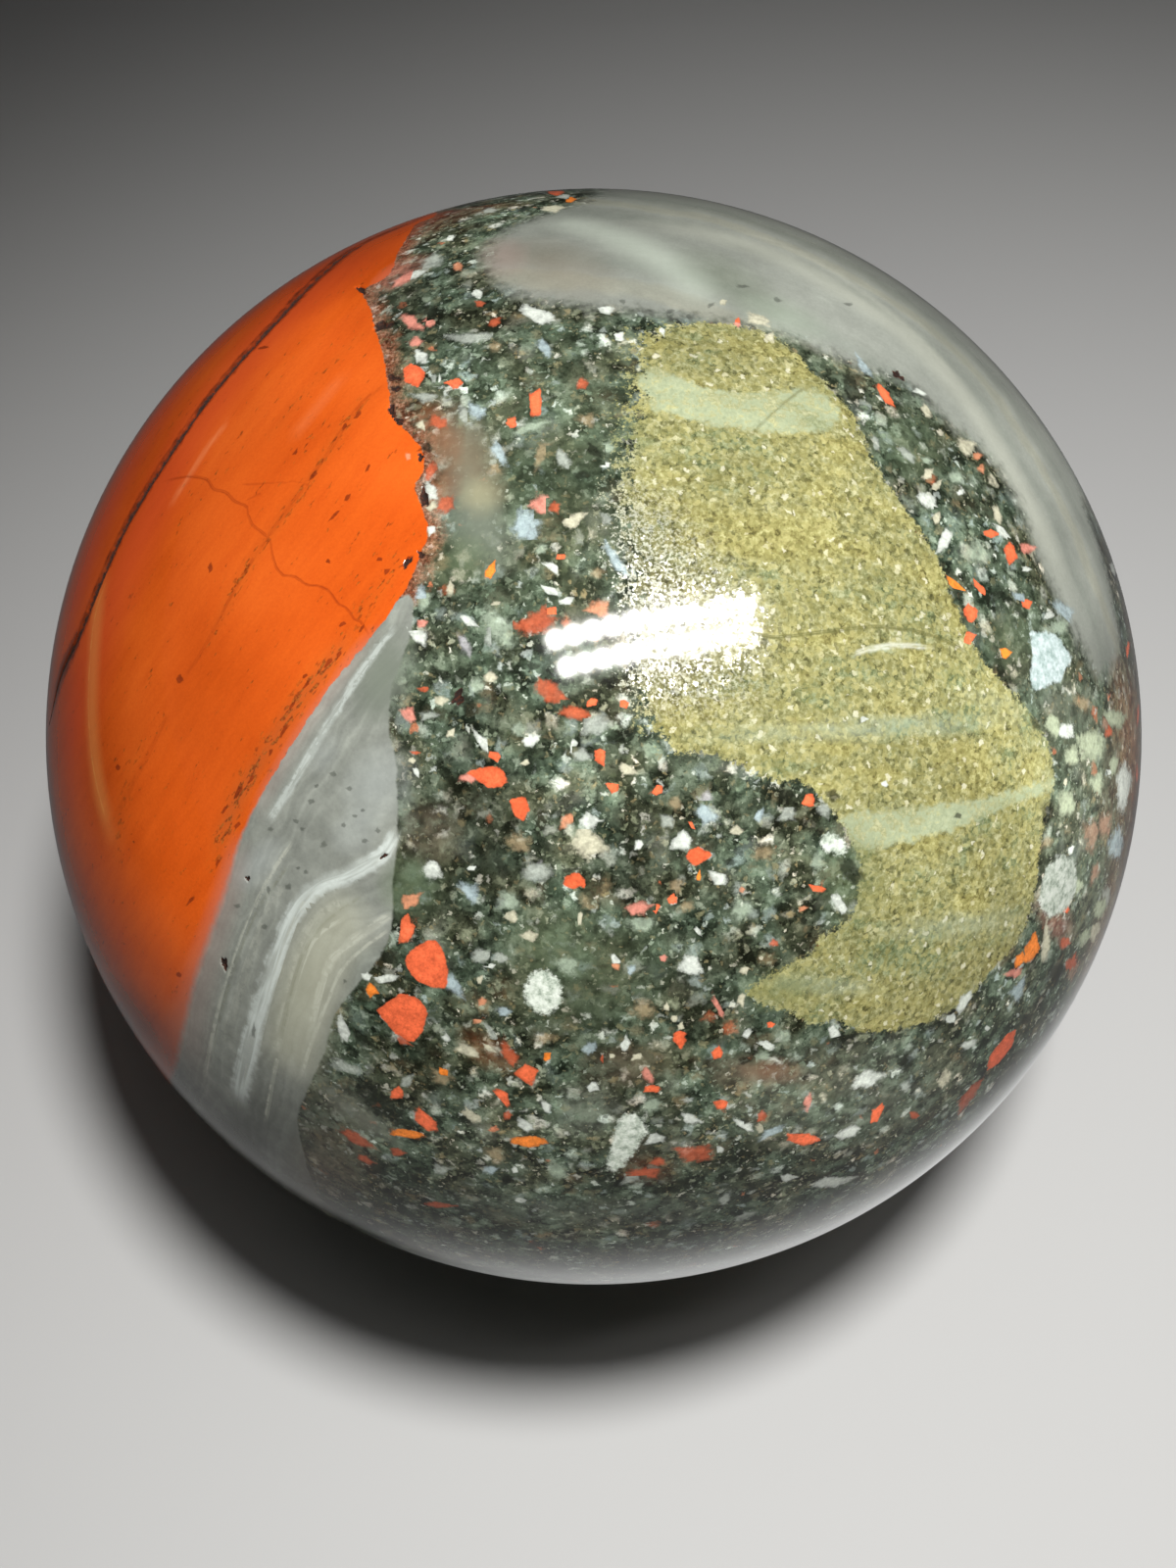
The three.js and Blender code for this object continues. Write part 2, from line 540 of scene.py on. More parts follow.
def deepest_inside(outlines, rounded=True):
    return np.max([depth_inside(outline, rounded) for outline in outlines], axis=0)


def keep_attribute(name, values, kind="FLOAT", domain="POINT"):
    made = ball.data.attributes.new(name, kind, domain)
    field = {"FLOAT": "value", "FLOAT_VECTOR": "vector", "FLOAT_COLOR": "color"}[kind]
    made.data.foreach_set(field, np.ascontiguousarray(values, dtype=np.float32).ravel())


plan_points = on_plan(round_points)
plan_x, plan_y = plan_points.T
print("plan from", plan_points.min(axis=0).round(), "to", plan_points.max(axis=0).round())

# %% [markdown]
# Two marks have no outline. Grains of pyrite are strewn past the upper left edge of their field, and
# beside the lamp's reflection the polish is uneven in a slanting patch, where glints are also painted
# into the pyrite's colour as a painted highlight.

# %% Mark the parts
# Pixels of the plan from where to where each mark grows from 0 to 1.
LOOSE_EDGE_X, LOOSE_EDGE_Y = (700, 640), (800, 740)
UNEVEN_X, UNEVEN_TOP, UNEVEN_BOTTOM = (800, 690), (430, 520), (745, 685)
UNEVEN_SLANT, UNEVEN_SLANT_ABOVE = 0.86, 620

depths = {
    "jasper": depth_inside(JASPER), "lens": depth_inside(LENS), "wedge": depth_inside(WEDGE),
    "pyrite": depth_inside(PYRITE), "pale band": deepest_inside(PALE_BANDS),
}
for kind, chips in CHIPS.items():
    depths[f"{kind} chip"] = deepest_inside(chips, rounded=False)
loose_edge = ramp(plan_x, *LOOSE_EDGE_X) * ramp(plan_y, *LOOSE_EDGE_Y)
slant = UNEVEN_SLANT * np.clip(UNEVEN_SLANT_ABOVE - plan_y, 0, None)
uneven_polish_and_glints = ramp(plan_x + slant, *UNEVEN_X) * ramp(plan_y, *UNEVEN_TOP) * ramp(plan_y, *UNEVEN_BOTTOM)
marks = {**depths, "hollow": hollow_share, "pyrite edge": loose_edge, "uneven polish and painted glints": uneven_polish_and_glints}
for name, values in marks.items():
    keep_attribute(name, values)
print("share of points in jasper:", round(float((depths["jasper"] > 0).mean()), 3))

# %% [markdown]
# ## Chips, veins and stains
# Some chips are seen so well that a random pattern would look wrong at once, so each has a row of its
# own. The corners of the faces round a chip hold their place in that chip's own frame: along it and
# across it, 1 at its tip. The shader draws an angular shape from these two numbers, sharp at any
# size, because they are straight across each face. Veins work alike: across and along the vein.

# %% Chip rows
COLOURS = {
    "red": "E86E46", "brick": "B4583A", "pink": "D98C7A", "orange": "EE8534", "peach": "D08C68",
    "tan": "9C8A6A", "cream": "C2BEA4", "white": "CBD0C5", "grey": "A4AA9F", "mint": "A0AE98",
    "sky": "A6B6B8", "moss": "5D6A50", "black": "1B1D16", "lilac": "B3B0B2", "smoke": "776A58",
    "leaf": "A3AC90", "clay": "A07C66", "haze": "86897A", "rust": "94502C", "glow": "F2A06A",
    "vein white": "C6CDC6", "vein cream": "C4C5B4", "crack brown": "8E320F", "crack dark": "5A5A34",
    "crack deep": "4A1D10", "crack tan": "E8A658", "beige": "BAB9A0", "blush": "A48A80",
    "speck": "7A2C12", "fleck": "494C45", "ash": "6C7266", "veil": "BFC8B8", "blood": "CC4A28",
    "ice": "B6BDBC", "glim": "A39C7C", "olive": "5E6A48",
}

# How strongly a kind covers what lies under it. The faint kinds are also softer and more ragged.
STRENGTHS = {
    "red": 0.97, "brick": 0.82, "pink": 0.8, "orange": 0.97, "peach": 0.8, "tan": 0.6, "cream": 0.86,
    "white": 0.9, "grey": 0.74, "mint": 0.66, "sky": 0.76, "black": 0.72, "lilac": 0.66, "speck": 0.8,
    "fleck": 0.62, "leaf": 0.85, "clay": 0.62,
}

# Each row is x, y, length and width in pixels of the plan and, unless it lies level, its turn in
# degrees anticlockwise.
CHIP_ROWS = {"red": [
    (465, 392, 17, 11, 10), (547, 411, 28, 12, 85), (522, 433, 13, 9, 120), (562, 626, 14, 12, 70),
    (604, 717, 12, 8, 10), (637, 718, 9, 8), (505, 771, 12, 8, -20), (612, 771, 13, 14),
    (624, 803, 14, 7, -35), (671, 806, 13, 8, 45), (686, 918, 10, 10), (670, 927, 10, 5, 60),
    (826, 817, 14, 13), (834, 907, 14, 7, -10), (414, 949, 28, 13, 85), (537, 1096, 22, 16),
    (513, 1120, 24, 9, -50), (404, 1117, 14, 11, 20), (433, 1145, 30, 15, -42), (732, 1076, 12, 12),
    (736, 1128, 13, 11), (819, 1163, 30, 12, -5), (895, 1138, 22, 9, 58), (1031, 565, 22, 12, 100),
    (1010, 545, 14, 8), (990, 625, 18, 14, -60), (988, 651, 13, 9, 80), (902, 404, 28, 9, -55),
    (1047, 616, 10, 9), (999, 600, 18, 7, -50), (665, 1112, 18, 9), (568, 199, 18, 4),
    (1150, 663, 18, 3, 85), (1161, 728, 20, 2, 88), (1088, 928, 8, 8), (1160, 790, 18, 2, 88),
    (752, 330, 8, 5, 80), (706, 842, 9, 4, -60), (572, 568, 10, 6), (787, 1046, 7, 6),
], "brick": [
    (545, 636, 44, 22, 12), (560, 705, 34, 20, -30), (590, 728, 28, 14, -20), (520, 1078, 28, 12, -60),
    (712, 1178, 36, 16), (672, 1187, 14, 8, -15), (656, 1198, 30, 10, 5), (361, 1162, 34, 11, -30),
    (405, 1177, 14, 9), (445, 1231, 26, 6, -5), (990, 1118, 30, 10, 50), (934, 1139, 9, 8),
    (1131, 745, 13, 7, -60), (1087, 962, 12, 8, 60), (778, 1140, 10, 9, 80), (505, 330, 12, 8, 30),
    (594, 393, 12, 10), (518, 1139, 9, 8), (790, 963, 9, 7, 30), (615, 1082, 9, 4, -75),
    (372, 1185, 18, 7, -25), (410, 1062, 12, 8, -30), (432, 704, 10, 5), (424, 768, 9, 4), (490, 312, 9, 7),
    (1094, 984, 18, 12, 60), (440, 480, 18, 10, 60), (448, 432, 20, 14, -30), (455, 515, 18, 16, 40),
    (566, 518, 12, 12),
], "pink": [
    (553, 515, 20, 17, 40), (418, 729, 12, 17, 20), (662, 1099, 17, 10, -60), (652, 927, 22, 13, 15),
    (733, 1028, 26, 6, -62), (1036, 993, 14, 10, 30), (825, 1124, 16, 8, 70), (478, 793, 16, 9, 10),
    (752, 332, 8, 6), (431, 636, 9, 8), (420, 330, 22, 12, -30), (415, 285, 30, 9, 30),
    (425, 350, 14, 9, 20), (438, 330, 12, 10), (677, 978, 8, 6), (1047, 560, 13, 12),
], "orange": [
    (414, 1158, 32, 9, -5), (538, 1166, 38, 10), (1053, 969, 28, 13, 72), (1041, 980, 16, 8, 60),
    (975, 598, 22, 7, -38), (1025, 667, 10, 9, 70), (713, 895, 8, 5, 80), (379, 1011, 14, 11, -40),
    (582, 206, 10, 6), (452, 1095, 13, 7, -30), (558, 1079, 10, 8, 60), (500, 584, 16, 9, 60),
], "peach": [
    (612, 622, 20, 14, -30), (757, 908, 6, 5), (467, 274, 10, 8), (996, 466, 9, 8), (417, 920, 18, 14, 30),
    (820, 927, 9, 5, 20), (1000, 479, 9, 7), (628, 986, 9, 6, -50), (417, 466, 7, 5, -40),
    (490, 1040, 12, 9, 20), (492, 1022, 9, 8), (580, 836, 14, 12, 20),
], "white": [
    (549, 323, 36, 13, -25), (487, 301, 11, 8), (619, 318, 14, 8, 10), (632, 345, 9, 9),
    (421, 283, 32, 8, 22), (430, 365, 16, 11, -50), (448, 388, 9, 5, 80), (575, 203, 14, 4),
    (617, 475, 10, 6), (565, 580, 16, 8, -50), (562, 603, 16, 7, -20), (578, 613, 15, 8, 15),
    (441, 541, 9, 8, -50), (440, 503, 15, 17, 20), (428, 649, 19, 13, -10), (478, 634, 20, 8, -30),
    (425, 788, 9, 6, -60), (600, 838, 19, 17), (652, 863, 12, 7, 60), (696, 858, 19, 18),
    (857, 922, 24, 9, -62), (441, 888, 17, 18, 40), (481, 886, 9, 5, 10), (394, 999, 26, 8, 8),
    (374, 997, 9, 9), (455, 1060, 7, 8), (557, 1130, 14, 9, -60), (628, 980, 14, 7, -60),
    (705, 985, 21, 19, -30), (852, 1055, 16, 9, -60), (886, 1102, 25, 18, 10), (866, 1157, 26, 12, 20),
    (848, 1208, 34, 11, 8), (803, 1203, 12, 8), (735, 1174, 8, 8), (705, 1143, 18, 11, -15),
    (670, 1163, 19, 11), (760, 1150, 22, 7, -30), (990, 1066, 16, 9, 25), (1008, 1050, 5, 5),
    (985, 1022, 28, 8, 55), (971, 1040, 10, 9), (1069, 628, 9, 7, 60), (1088, 745, 17, 15, 30),
    (1147, 802, 50, 15, 88), (1093, 867, 10, 6, 80), (946, 512, 24, 15, -35), (963, 552, 24, 10, 72),
    (937, 401, 13, 5, -20), (1022, 543, 22, 7, -45), (1046, 581, 9, 5), (531, 1226, 13, 5, -10),
    (525, 1195, 8, 6, -40), (605, 1110, 11, 11, 30), (536, 1150, 18, 9, -30), (638, 1067, 15, 8, 80),
    (350, 1052, 24, 12, -70), (460, 245, 9, 5, 15), (492, 758, 26, 8, -52), (735, 897, 16, 12, -10),
    (763, 1055, 12, 7, 60), (783, 1067, 18, 7, -20), (979, 503, 8, 6, 30), (675, 339, 6, 6),
    (712, 950, 10, 5, -50), (1135, 580, 12, 4, -75), (540, 755, 18, 12, 20), (585, 762, 14, 7, 80),
    (500, 986, 12, 5, 10), (1132, 788, 6, 6), (881, 734, 6, 6), (903, 800, 7, 6),
], "cream": [
    (775, 328, 26, 11, -20), (785, 345, 9, 9), (669, 365, 8, 5), (583, 533, 17, 14, 30),
    (441, 517, 11, 8, 40), (430, 435, 9, 8), (505, 618, 10, 7, 20), (600, 861, 36, 26, -30),
    (460, 748, 11, 8, 40), (536, 778, 7, 6, 40), (522, 936, 14, 10, -20), (592, 937, 16, 4, 80),
    (541, 955, 16, 10, -30), (477, 1073, 25, 11, -25), (498, 1070, 12, 5, -30), (651, 1079, 10, 7),
    (757, 1020, 11, 9, 70), (760, 990, 9, 8), (985, 457, 22, 13, -38), (954, 497, 10, 8, 50),
    (955, 530, 12, 7, 70), (1017, 526, 18, 8, -68), (946, 485, 12, 9, 60), (945, 421, 15, 7, -50),
    (1068, 965, 34, 9, 85), (1087, 798, 10, 4, 80), (965, 1101, 18, 11, 42), (565, 215, 24, 7, 3),
    (640, 785, 15, 11, -30), (500, 692, 14, 10), (450, 715, 14, 10), (737, 310, 9, 6),
    (776, 1152, 11, 7, -40), (625, 1078, 6, 5), (482, 1140, 22, 9, -32), (1118, 950, 20, 8, 60),
    (688, 1040, 9, 6, -30), (695, 1048, 8, 6), (752, 848, 14, 8), (490, 1000, 9, 5, 70),
    (680, 1028, 8, 6, -60), (420, 776, 8, 6), (460, 600, 8, 12), (512, 652, 16, 5, -60),
], "grey": [
    (480, 346, 34, 11, 5), (435, 407, 20, 10, 5), (443, 388, 10, 5, 80), (594, 771, 18, 13),
    (608, 740, 26, 22), (681, 838, 14, 13), (549, 890, 27, 20, -20), (490, 975, 16, 13),
    (449, 1195, 14, 11), (840, 825, 16, 12, -60), (352, 1090, 34, 12, -20), (414, 1105, 14, 9, 50),
    (502, 650, 20, 14, -50), (760, 1243, 20, 7, 20), (740, 1225, 16, 9, 45), (645, 1203, 16, 9, 10),
    (805, 830, 15, 14), (441, 270, 26, 12, 22), (436, 730, 16, 10), (500, 217, 14, 5, 5),
    (1130, 915, 20, 8, 80), (925, 465, 20, 8, -45), (893, 453, 16, 6, -70), (500, 1052, 20, 6, -55),
    (510, 978, 14, 11), (925, 1110, 11, 9), (475, 425, 10, 22, 30), (575, 470, 13, 17, 25),
], "mint": [
    (507, 640, 46, 24, -62), (997, 565, 28, 20, 10), (945, 471, 10, 9), (570, 1197, 26, 14, -30),
    (757, 928, 22, 18, 40), (655, 943, 26, 14), (520, 920, 20, 18), (578, 985, 20, 14),
    (540, 437, 26, 9, 15), (620, 458, 12, 12), (665, 1128, 20, 14), (835, 880, 18, 12, 80),
    (780, 1078, 14, 10), (487, 700, 16, 16), (433, 612, 12, 22), (975, 488, 16, 12),
    (1080, 640, 20, 16, 30), (530, 745, 14, 12), (800, 1058, 16, 12, 20), (552, 560, 12, 9),
], "sky": [
    (556, 356, 20, 9, -55), (487, 421, 20, 13, -35), (628, 572, 32, 11, -55), (537, 538, 30, 24, 20),
    (510, 463, 26, 11, -60), (478, 910, 26, 11, -38), (462, 1005, 22, 12, -60), (645, 990, 12, 8, 60),
    (1085, 625, 26, 13, -55), (1140, 862, 30, 14, 85), (515, 1033, 12, 9), (602, 1070, 14, 11, 20),
    (775, 832, 12, 8, 60), (790, 1155, 26, 7, 20), (500, 1195, 14, 8), (720, 830, 20, 16, -30),
    (430, 608, 14, 20), (880, 376, 18, 8, -50), (1040, 610, 16, 8, -30), (1040, 1010, 18, 12, 60),
], "leaf": [
    (1114, 760, 36, 28, 80), (1138, 733, 20, 18), (1094, 772, 20, 16, 70), (1088, 820, 18, 30),
    (1124, 926, 24, 10, 65), (1108, 956, 22, 9, 60), (1120, 800, 12, 20), (1075, 740, 14, 24, 20),
    (1100, 905, 16, 9, 60), (1136, 780, 18, 9, 80),
], "clay": [
    (1114, 852, 34, 12, 85), (1128, 842, 24, 14, 80), (1128, 738, 14, 8, -70), (1096, 990, 22, 10, 60),
    (1118, 890, 16, 8, 80),
], "lilac": [
    (549, 885, 16, 12), (500, 690, 8, 8), (475, 658, 20, 10, -70), (720, 815, 16, 12),
], "tan": [
    (552, 463, 24, 11, 78), (505, 480, 16, 10, 20), (530, 860, 24, 16, -35), (600, 430, 14, 10, -40),
    (1105, 718, 20, 12, -40), (780, 870, 20, 12, 10), (690, 820, 12, 12), (655, 1030, 24, 18, 20),
    (505, 355, 12, 10), (610, 585, 12, 10), (700, 925, 16, 10, 30), (1068, 860, 14, 9, 70),
    (450, 1100, 20, 14, -20), (505, 1180, 20, 12, -30), (690, 905, 14, 12, -30), (555, 1060, 16, 10),
], "black": [
    (868, 398, 34, 13, -72), (512, 887, 22, 12, -60), (580, 888, 16, 5, 5), (745, 880, 14, 8, 10),
    (868, 890, 32, 16, -60), (802, 812, 20, 14, -10), (820, 940, 9, 8), (370, 1062, 22, 11, -30),
    (396, 976, 16, 14), (490, 1038, 16, 10, 20), (860, 1062, 26, 12, 20), (926, 1085, 22, 20),
    (655, 910, 26, 7, -45), (478, 720, 26, 12, -70), (386, 1128, 84, 22, -38), (1056, 738, 16, 8, -60),
    (1068, 830, 26, 9, 80), (1117, 826, 11, 6, 80), (1080, 992, 20, 16, 40), (975, 608, 18, 12, -40),
    (1012, 610, 18, 12, 30), (760, 1083, 14, 7, 10), (823, 1100, 9, 5, 20), (978, 832, 7, 6),
    (640, 748, 22, 9, 30), (545, 680, 16, 8), (440, 320, 20, 14, -40), (452, 688, 18, 8, -20),
    (595, 485, 14, 8), (607, 462, 18, 10, -40), (468, 720, 14, 7, 60), (506, 1160, 12, 6),
    (850, 812, 16, 10, -20), (435, 458, 12, 8), (760, 960, 14, 7), (1048, 1040, 16, 10, 30),
], "speck": [
    (369, 642, 9, 3, 60), (349, 637, 8, 3, 45), (346, 668, 10, 3, 62), (335, 676, 12, 3, 55),
    (313, 698, 10, 3, 50), (298, 720, 12, 3, 58), (290, 745, 16, 4, 62), (276, 768, 9, 3, 60),
    (256, 795, 12, 3, 55), (243, 808, 16, 5, 62), (229, 826, 10, 3, 60), (242, 842, 8, 4, 50),
    (222, 880, 10, 3, 60), (193, 920, 12, 3, 50), (182, 995, 6, 5), (355, 508, 8, 4, 60),
    (343, 525, 14, 3, 48), (388, 571, 6, 4), (335, 573, 5, 4), (416, 573, 14, 5, 50), (395, 583, 8, 4, 40),
    (302, 462, 7, 3, 55), (376, 478, 8, 3, 65), (215, 580, 9, 5, 80), (270, 356, 10, 3, 10),
    (352, 436, 8, 4, 60), (366, 424, 9, 4, 55), (320, 486, 12, 4, 52), (120, 783, 6, 5),
    (311, 690, 6, 3, 50), (183, 693, 7, 9),
], "fleck": [
    (304, 886, 4, 3), (312, 890, 5, 4), (276, 846, 6, 4), (294, 905, 6, 5), (242, 925, 5, 4),
    (317, 818, 6, 5), (302, 838, 5, 4), (308, 846, 6, 3, -50), (385, 848, 5, 4), (362, 833, 4, 3),
    (370, 827, 4, 3), (273, 908, 4, 7), (258, 1053, 4, 9), (269, 946, 6, 4), (352, 1002, 4, 4),
    (725, 313, 7, 4, 20), (703, 325, 6, 5), (793, 308, 8, 4), (757, 294, 12, 3), (683, 319, 6, 4),
    (635, 309, 5, 4), (865, 312, 8, 3), (598, 322, 8, 4, 30), (340, 790, 6, 5), (356, 805, 5, 4),
    (323, 802, 5, 4), (330, 862, 6, 5), (372, 858, 6, 4), (350, 842, 5, 4),
]}
chip_count = sum(len(rows) for rows in CHIP_ROWS.values())
print(chip_count, "chips placed by eye")

# %% [markdown]
# The hidden side is strewn with the same kinds of chips by a seeded draw, so that every run gives
# the same stone. A chip that would fall in the jasper or another whole part is left out.

# %% Chips on the hidden side
HIDDEN_CHIPS = 1500
HIDDEN_SHARES = {
    "red": 0.09, "brick": 0.08, "pink": 0.03, "orange": 0.03, "white": 0.2, "cream": 0.14,
    "grey": 0.13, "mint": 0.1, "sky": 0.06, "tan": 0.06, "black": 0.08,
}
HIDDEN_LENGTH_LOG_MM, HIDDEN_LENGTH_SPREAD = -0.35, 0.5
HIDDEN_LENGTHS_MM = (0.3, 2.4)
HIDDEN_SLIMNESS = (0.4, 1)  # width as a share of length
draw = np.random.RandomState(11)


def whole_part_at(spots):
    return np.any([is_inside(outline, spots) for outline in (JASPER, WEDGE, LENS, PYRITE)], axis=0)


def strewn_frame(way, length, width, turn):
    """The same as frame_of, for a chip whose size is known in metres on the ball."""
    sideways = np.cross(way, toward)
    sideways /= np.linalg.norm(sideways)
    onward = np.cross(way, sideways)
    along = math.cos(turn) * sideways + math.sin(turn) * onward
    across = math.cos(turn) * onward - math.sin(turn) * sideways
    half_axes = np.stack([along * length / 2, across * width / 2], axis=1)
    return way * ball_radius, np.linalg.pinv(half_axes), length / 2


def strew_hidden_chips():
    names = list(HIDDEN_SHARES)
    chances = np.array([HIDDEN_SHARES[n] for n in names])
    kinds = draw.choice(names, HIDDEN_CHIPS, p=chances / chances.sum())
    ways = draw.normal(size=(HIDDEN_CHIPS, 3))
    ways /= np.linalg.norm(ways, axis=1)[:, None]
    ways[ways @ toward > math.cos(rim_angle)] *= -1
    lengths = draw.lognormal(HIDDEN_LENGTH_LOG_MM, HIDDEN_LENGTH_SPREAD, HIDDEN_CHIPS)
    lengths = np.clip(lengths, *HIDDEN_LENGTHS_MM) * MM
    widths = lengths * draw.uniform(*HIDDEN_SLIMNESS, HIDDEN_CHIPS)
    turns = draw.uniform(0, math.pi, HIDDEN_CHIPS)
    free = ~whole_part_at(on_plan(ways))
    rows = zip(kinds[free], ways[free], lengths[free], widths[free], turns[free])
    return [(kind, strewn_frame(*row)) for kind, *row in rows]


hidden_chips = strew_hidden_chips()
print(len(hidden_chips), "chips on the hidden side")

# %% [markdown]
# Each face takes the chip whose edge it is nearest to, and its corners are given their place in it.

# %% Give the faces their chips
FACE_MM = 0.42
FAR_PLACE = 9.0  # the place that is given where there is no chip or vein, far outside of both
CHIP_REACH = 1.4  # how far from its middle a chip claims faces, in half lengths
CHIP_SEED_STEP = 0.731


def linear_colour(hex_code):
    parts = [int(hex_code[i:i + 2], 16) / 255 for i in (0, 2, 4)]
    return [p / 12.92 if p <= 0.04045 else ((p + 0.055) / 1.055) ** 2.4 for p in parts]


def face_corners(mesh):
    """The mesh point of every face corner, and the face of every face corner."""
    points = np.empty(len(mesh.loops), int)
    mesh.loops.foreach_get("vertex_index", points)
    sizes = np.empty(len(mesh.polygons), int)
    mesh.polygons.foreach_get("loop_total", sizes)
    return points, np.repeat(np.arange(len(sizes)), sizes)


def keep_places(name, places, colours):
    keep_attribute(f"{name} place", places, "FLOAT_VECTOR", "CORNER")
    keep_attribute(f"{name} colour", colours, "FLOAT_COLOR", "CORNER")


def give_chips(chips):
    kinds = [kind for kind, _ in chips]
    shapes = [shape for _, shape in chips]
    owner = np.full(len(middles), -1)
    best = np.full(len(middles), np.inf)
    for number, (middle, to_parts, size) in enumerate(shapes):
        found = middle_tree.find_range(middle, size * CHIP_REACH + FACE_MM * MM)
        close = np.array([f[1] for f in found], int)
        if len(close):
            part = np.linalg.norm((middles[close] - middle) @ to_parts.T, axis=1)
            gap = (part - 1) * size
            wins = gap < best[close]
            owner[close[wins]] = number
            best[close[wins]] = gap[wins]
    corner_owner = owner[corner_face]
    owned = corner_owner >= 0
    mine = corner_owner[owned]
    offset = round_points[corner_point[owned]] - np.array([s[0] for s in shapes])[mine]
    parts = np.einsum("nij,nj->ni", np.array([s[1] for s in shapes])[mine], offset)
    places = np.full((len(corner_point), 3), FAR_PLACE)
    places[owned, :2] = parts
    places[owned, 2] = mine * CHIP_SEED_STEP
    colours = np.zeros((len(corner_point), 4))
    colours[owned, :3] = np.array([linear_colour(COLOURS[kind]) for kind in kinds])[mine]
    colours[owned, 3] = np.array([STRENGTHS[kind] for kind in kinds])[mine]
    keep_places("chip", places, colours)
    return int((owner >= 0).sum())


corner_point, corner_face = face_corners(ball.data)
middles = face_middles(ball.data) - np.array(ball_centre)
middle_tree = KDTree(len(middles))
for number, middle in enumerate(middles):
    middle_tree.insert(middle, number)
middle_tree.balance()
placed_chips = [(kind, frame_of(*row)) for kind, rows in CHIP_ROWS.items() for row in rows]
print(len(placed_chips), "placed chips and the rest on", give_chips(placed_chips + hidden_chips), "faces")

# %% [markdown]
# A vein's corners are told how far they lie across it, in half widths, and how far along it, from 0
# to 1. Where veins cross, each face belongs to the vein that is nearest.

# %% Give the faces their veins
WIDEST_PIXEL_MM = 0.07  # a pixel covers more of the ball near the rim, but no vein widens there
VEIN_REACH = 1.6  # in half widths
VEIN_SEED_STEP = 3.7


def side_arrows(route):
    """For each point of a route on the ball, the direction along the surface and square to the route."""
    sideways = np.cross(route, np.gradient(route, axis=0))
    return sideways / np.linalg.norm(sideways, axis=1)[:, None]


def give_veins(veins):
    places = np.full((len(corner_point), 3), FAR_PLACE)
    colours = np.zeros((len(corner_point), 4))
    best = np.full(len(middles), np.inf)
    for number, (kind, half_width, strength, stops) in enumerate(veins):
        route = on_ball(smooth_route(stops))
        sideways = side_arrows(route)
        steps_mm = np.linalg.norm(np.gradient(route, axis=0), axis=1) / MM
        wide = half_width * np.minimum(steps_mm, WIDEST_PIXEL_MM) * MM
        number_at, distance = nearest(route, middles)
        wins = distance < np.minimum(best, wide[number_at] * VEIN_REACH + FACE_MM * MM)
        best[wins] = distance[wins]
        chosen = wins[corner_face]
        points = round_points[corner_point[chosen]]
        at = nearest(route, points)[0]
        across = np.einsum("ni,ni->n", points - route[at], sideways[at]) / wide[at]
        seed = np.full(len(at), number * VEIN_SEED_STEP)
        places[chosen] = np.stack([across, at / len(route), seed], axis=1)
        colours[chosen] = (*linear_colour(COLOURS[kind]), strength)
    keep_places("vein", places, colours)
    return int((best < np.inf).sum())


print(len(VEINS), "veins on", give_veins(VEINS), "faces")
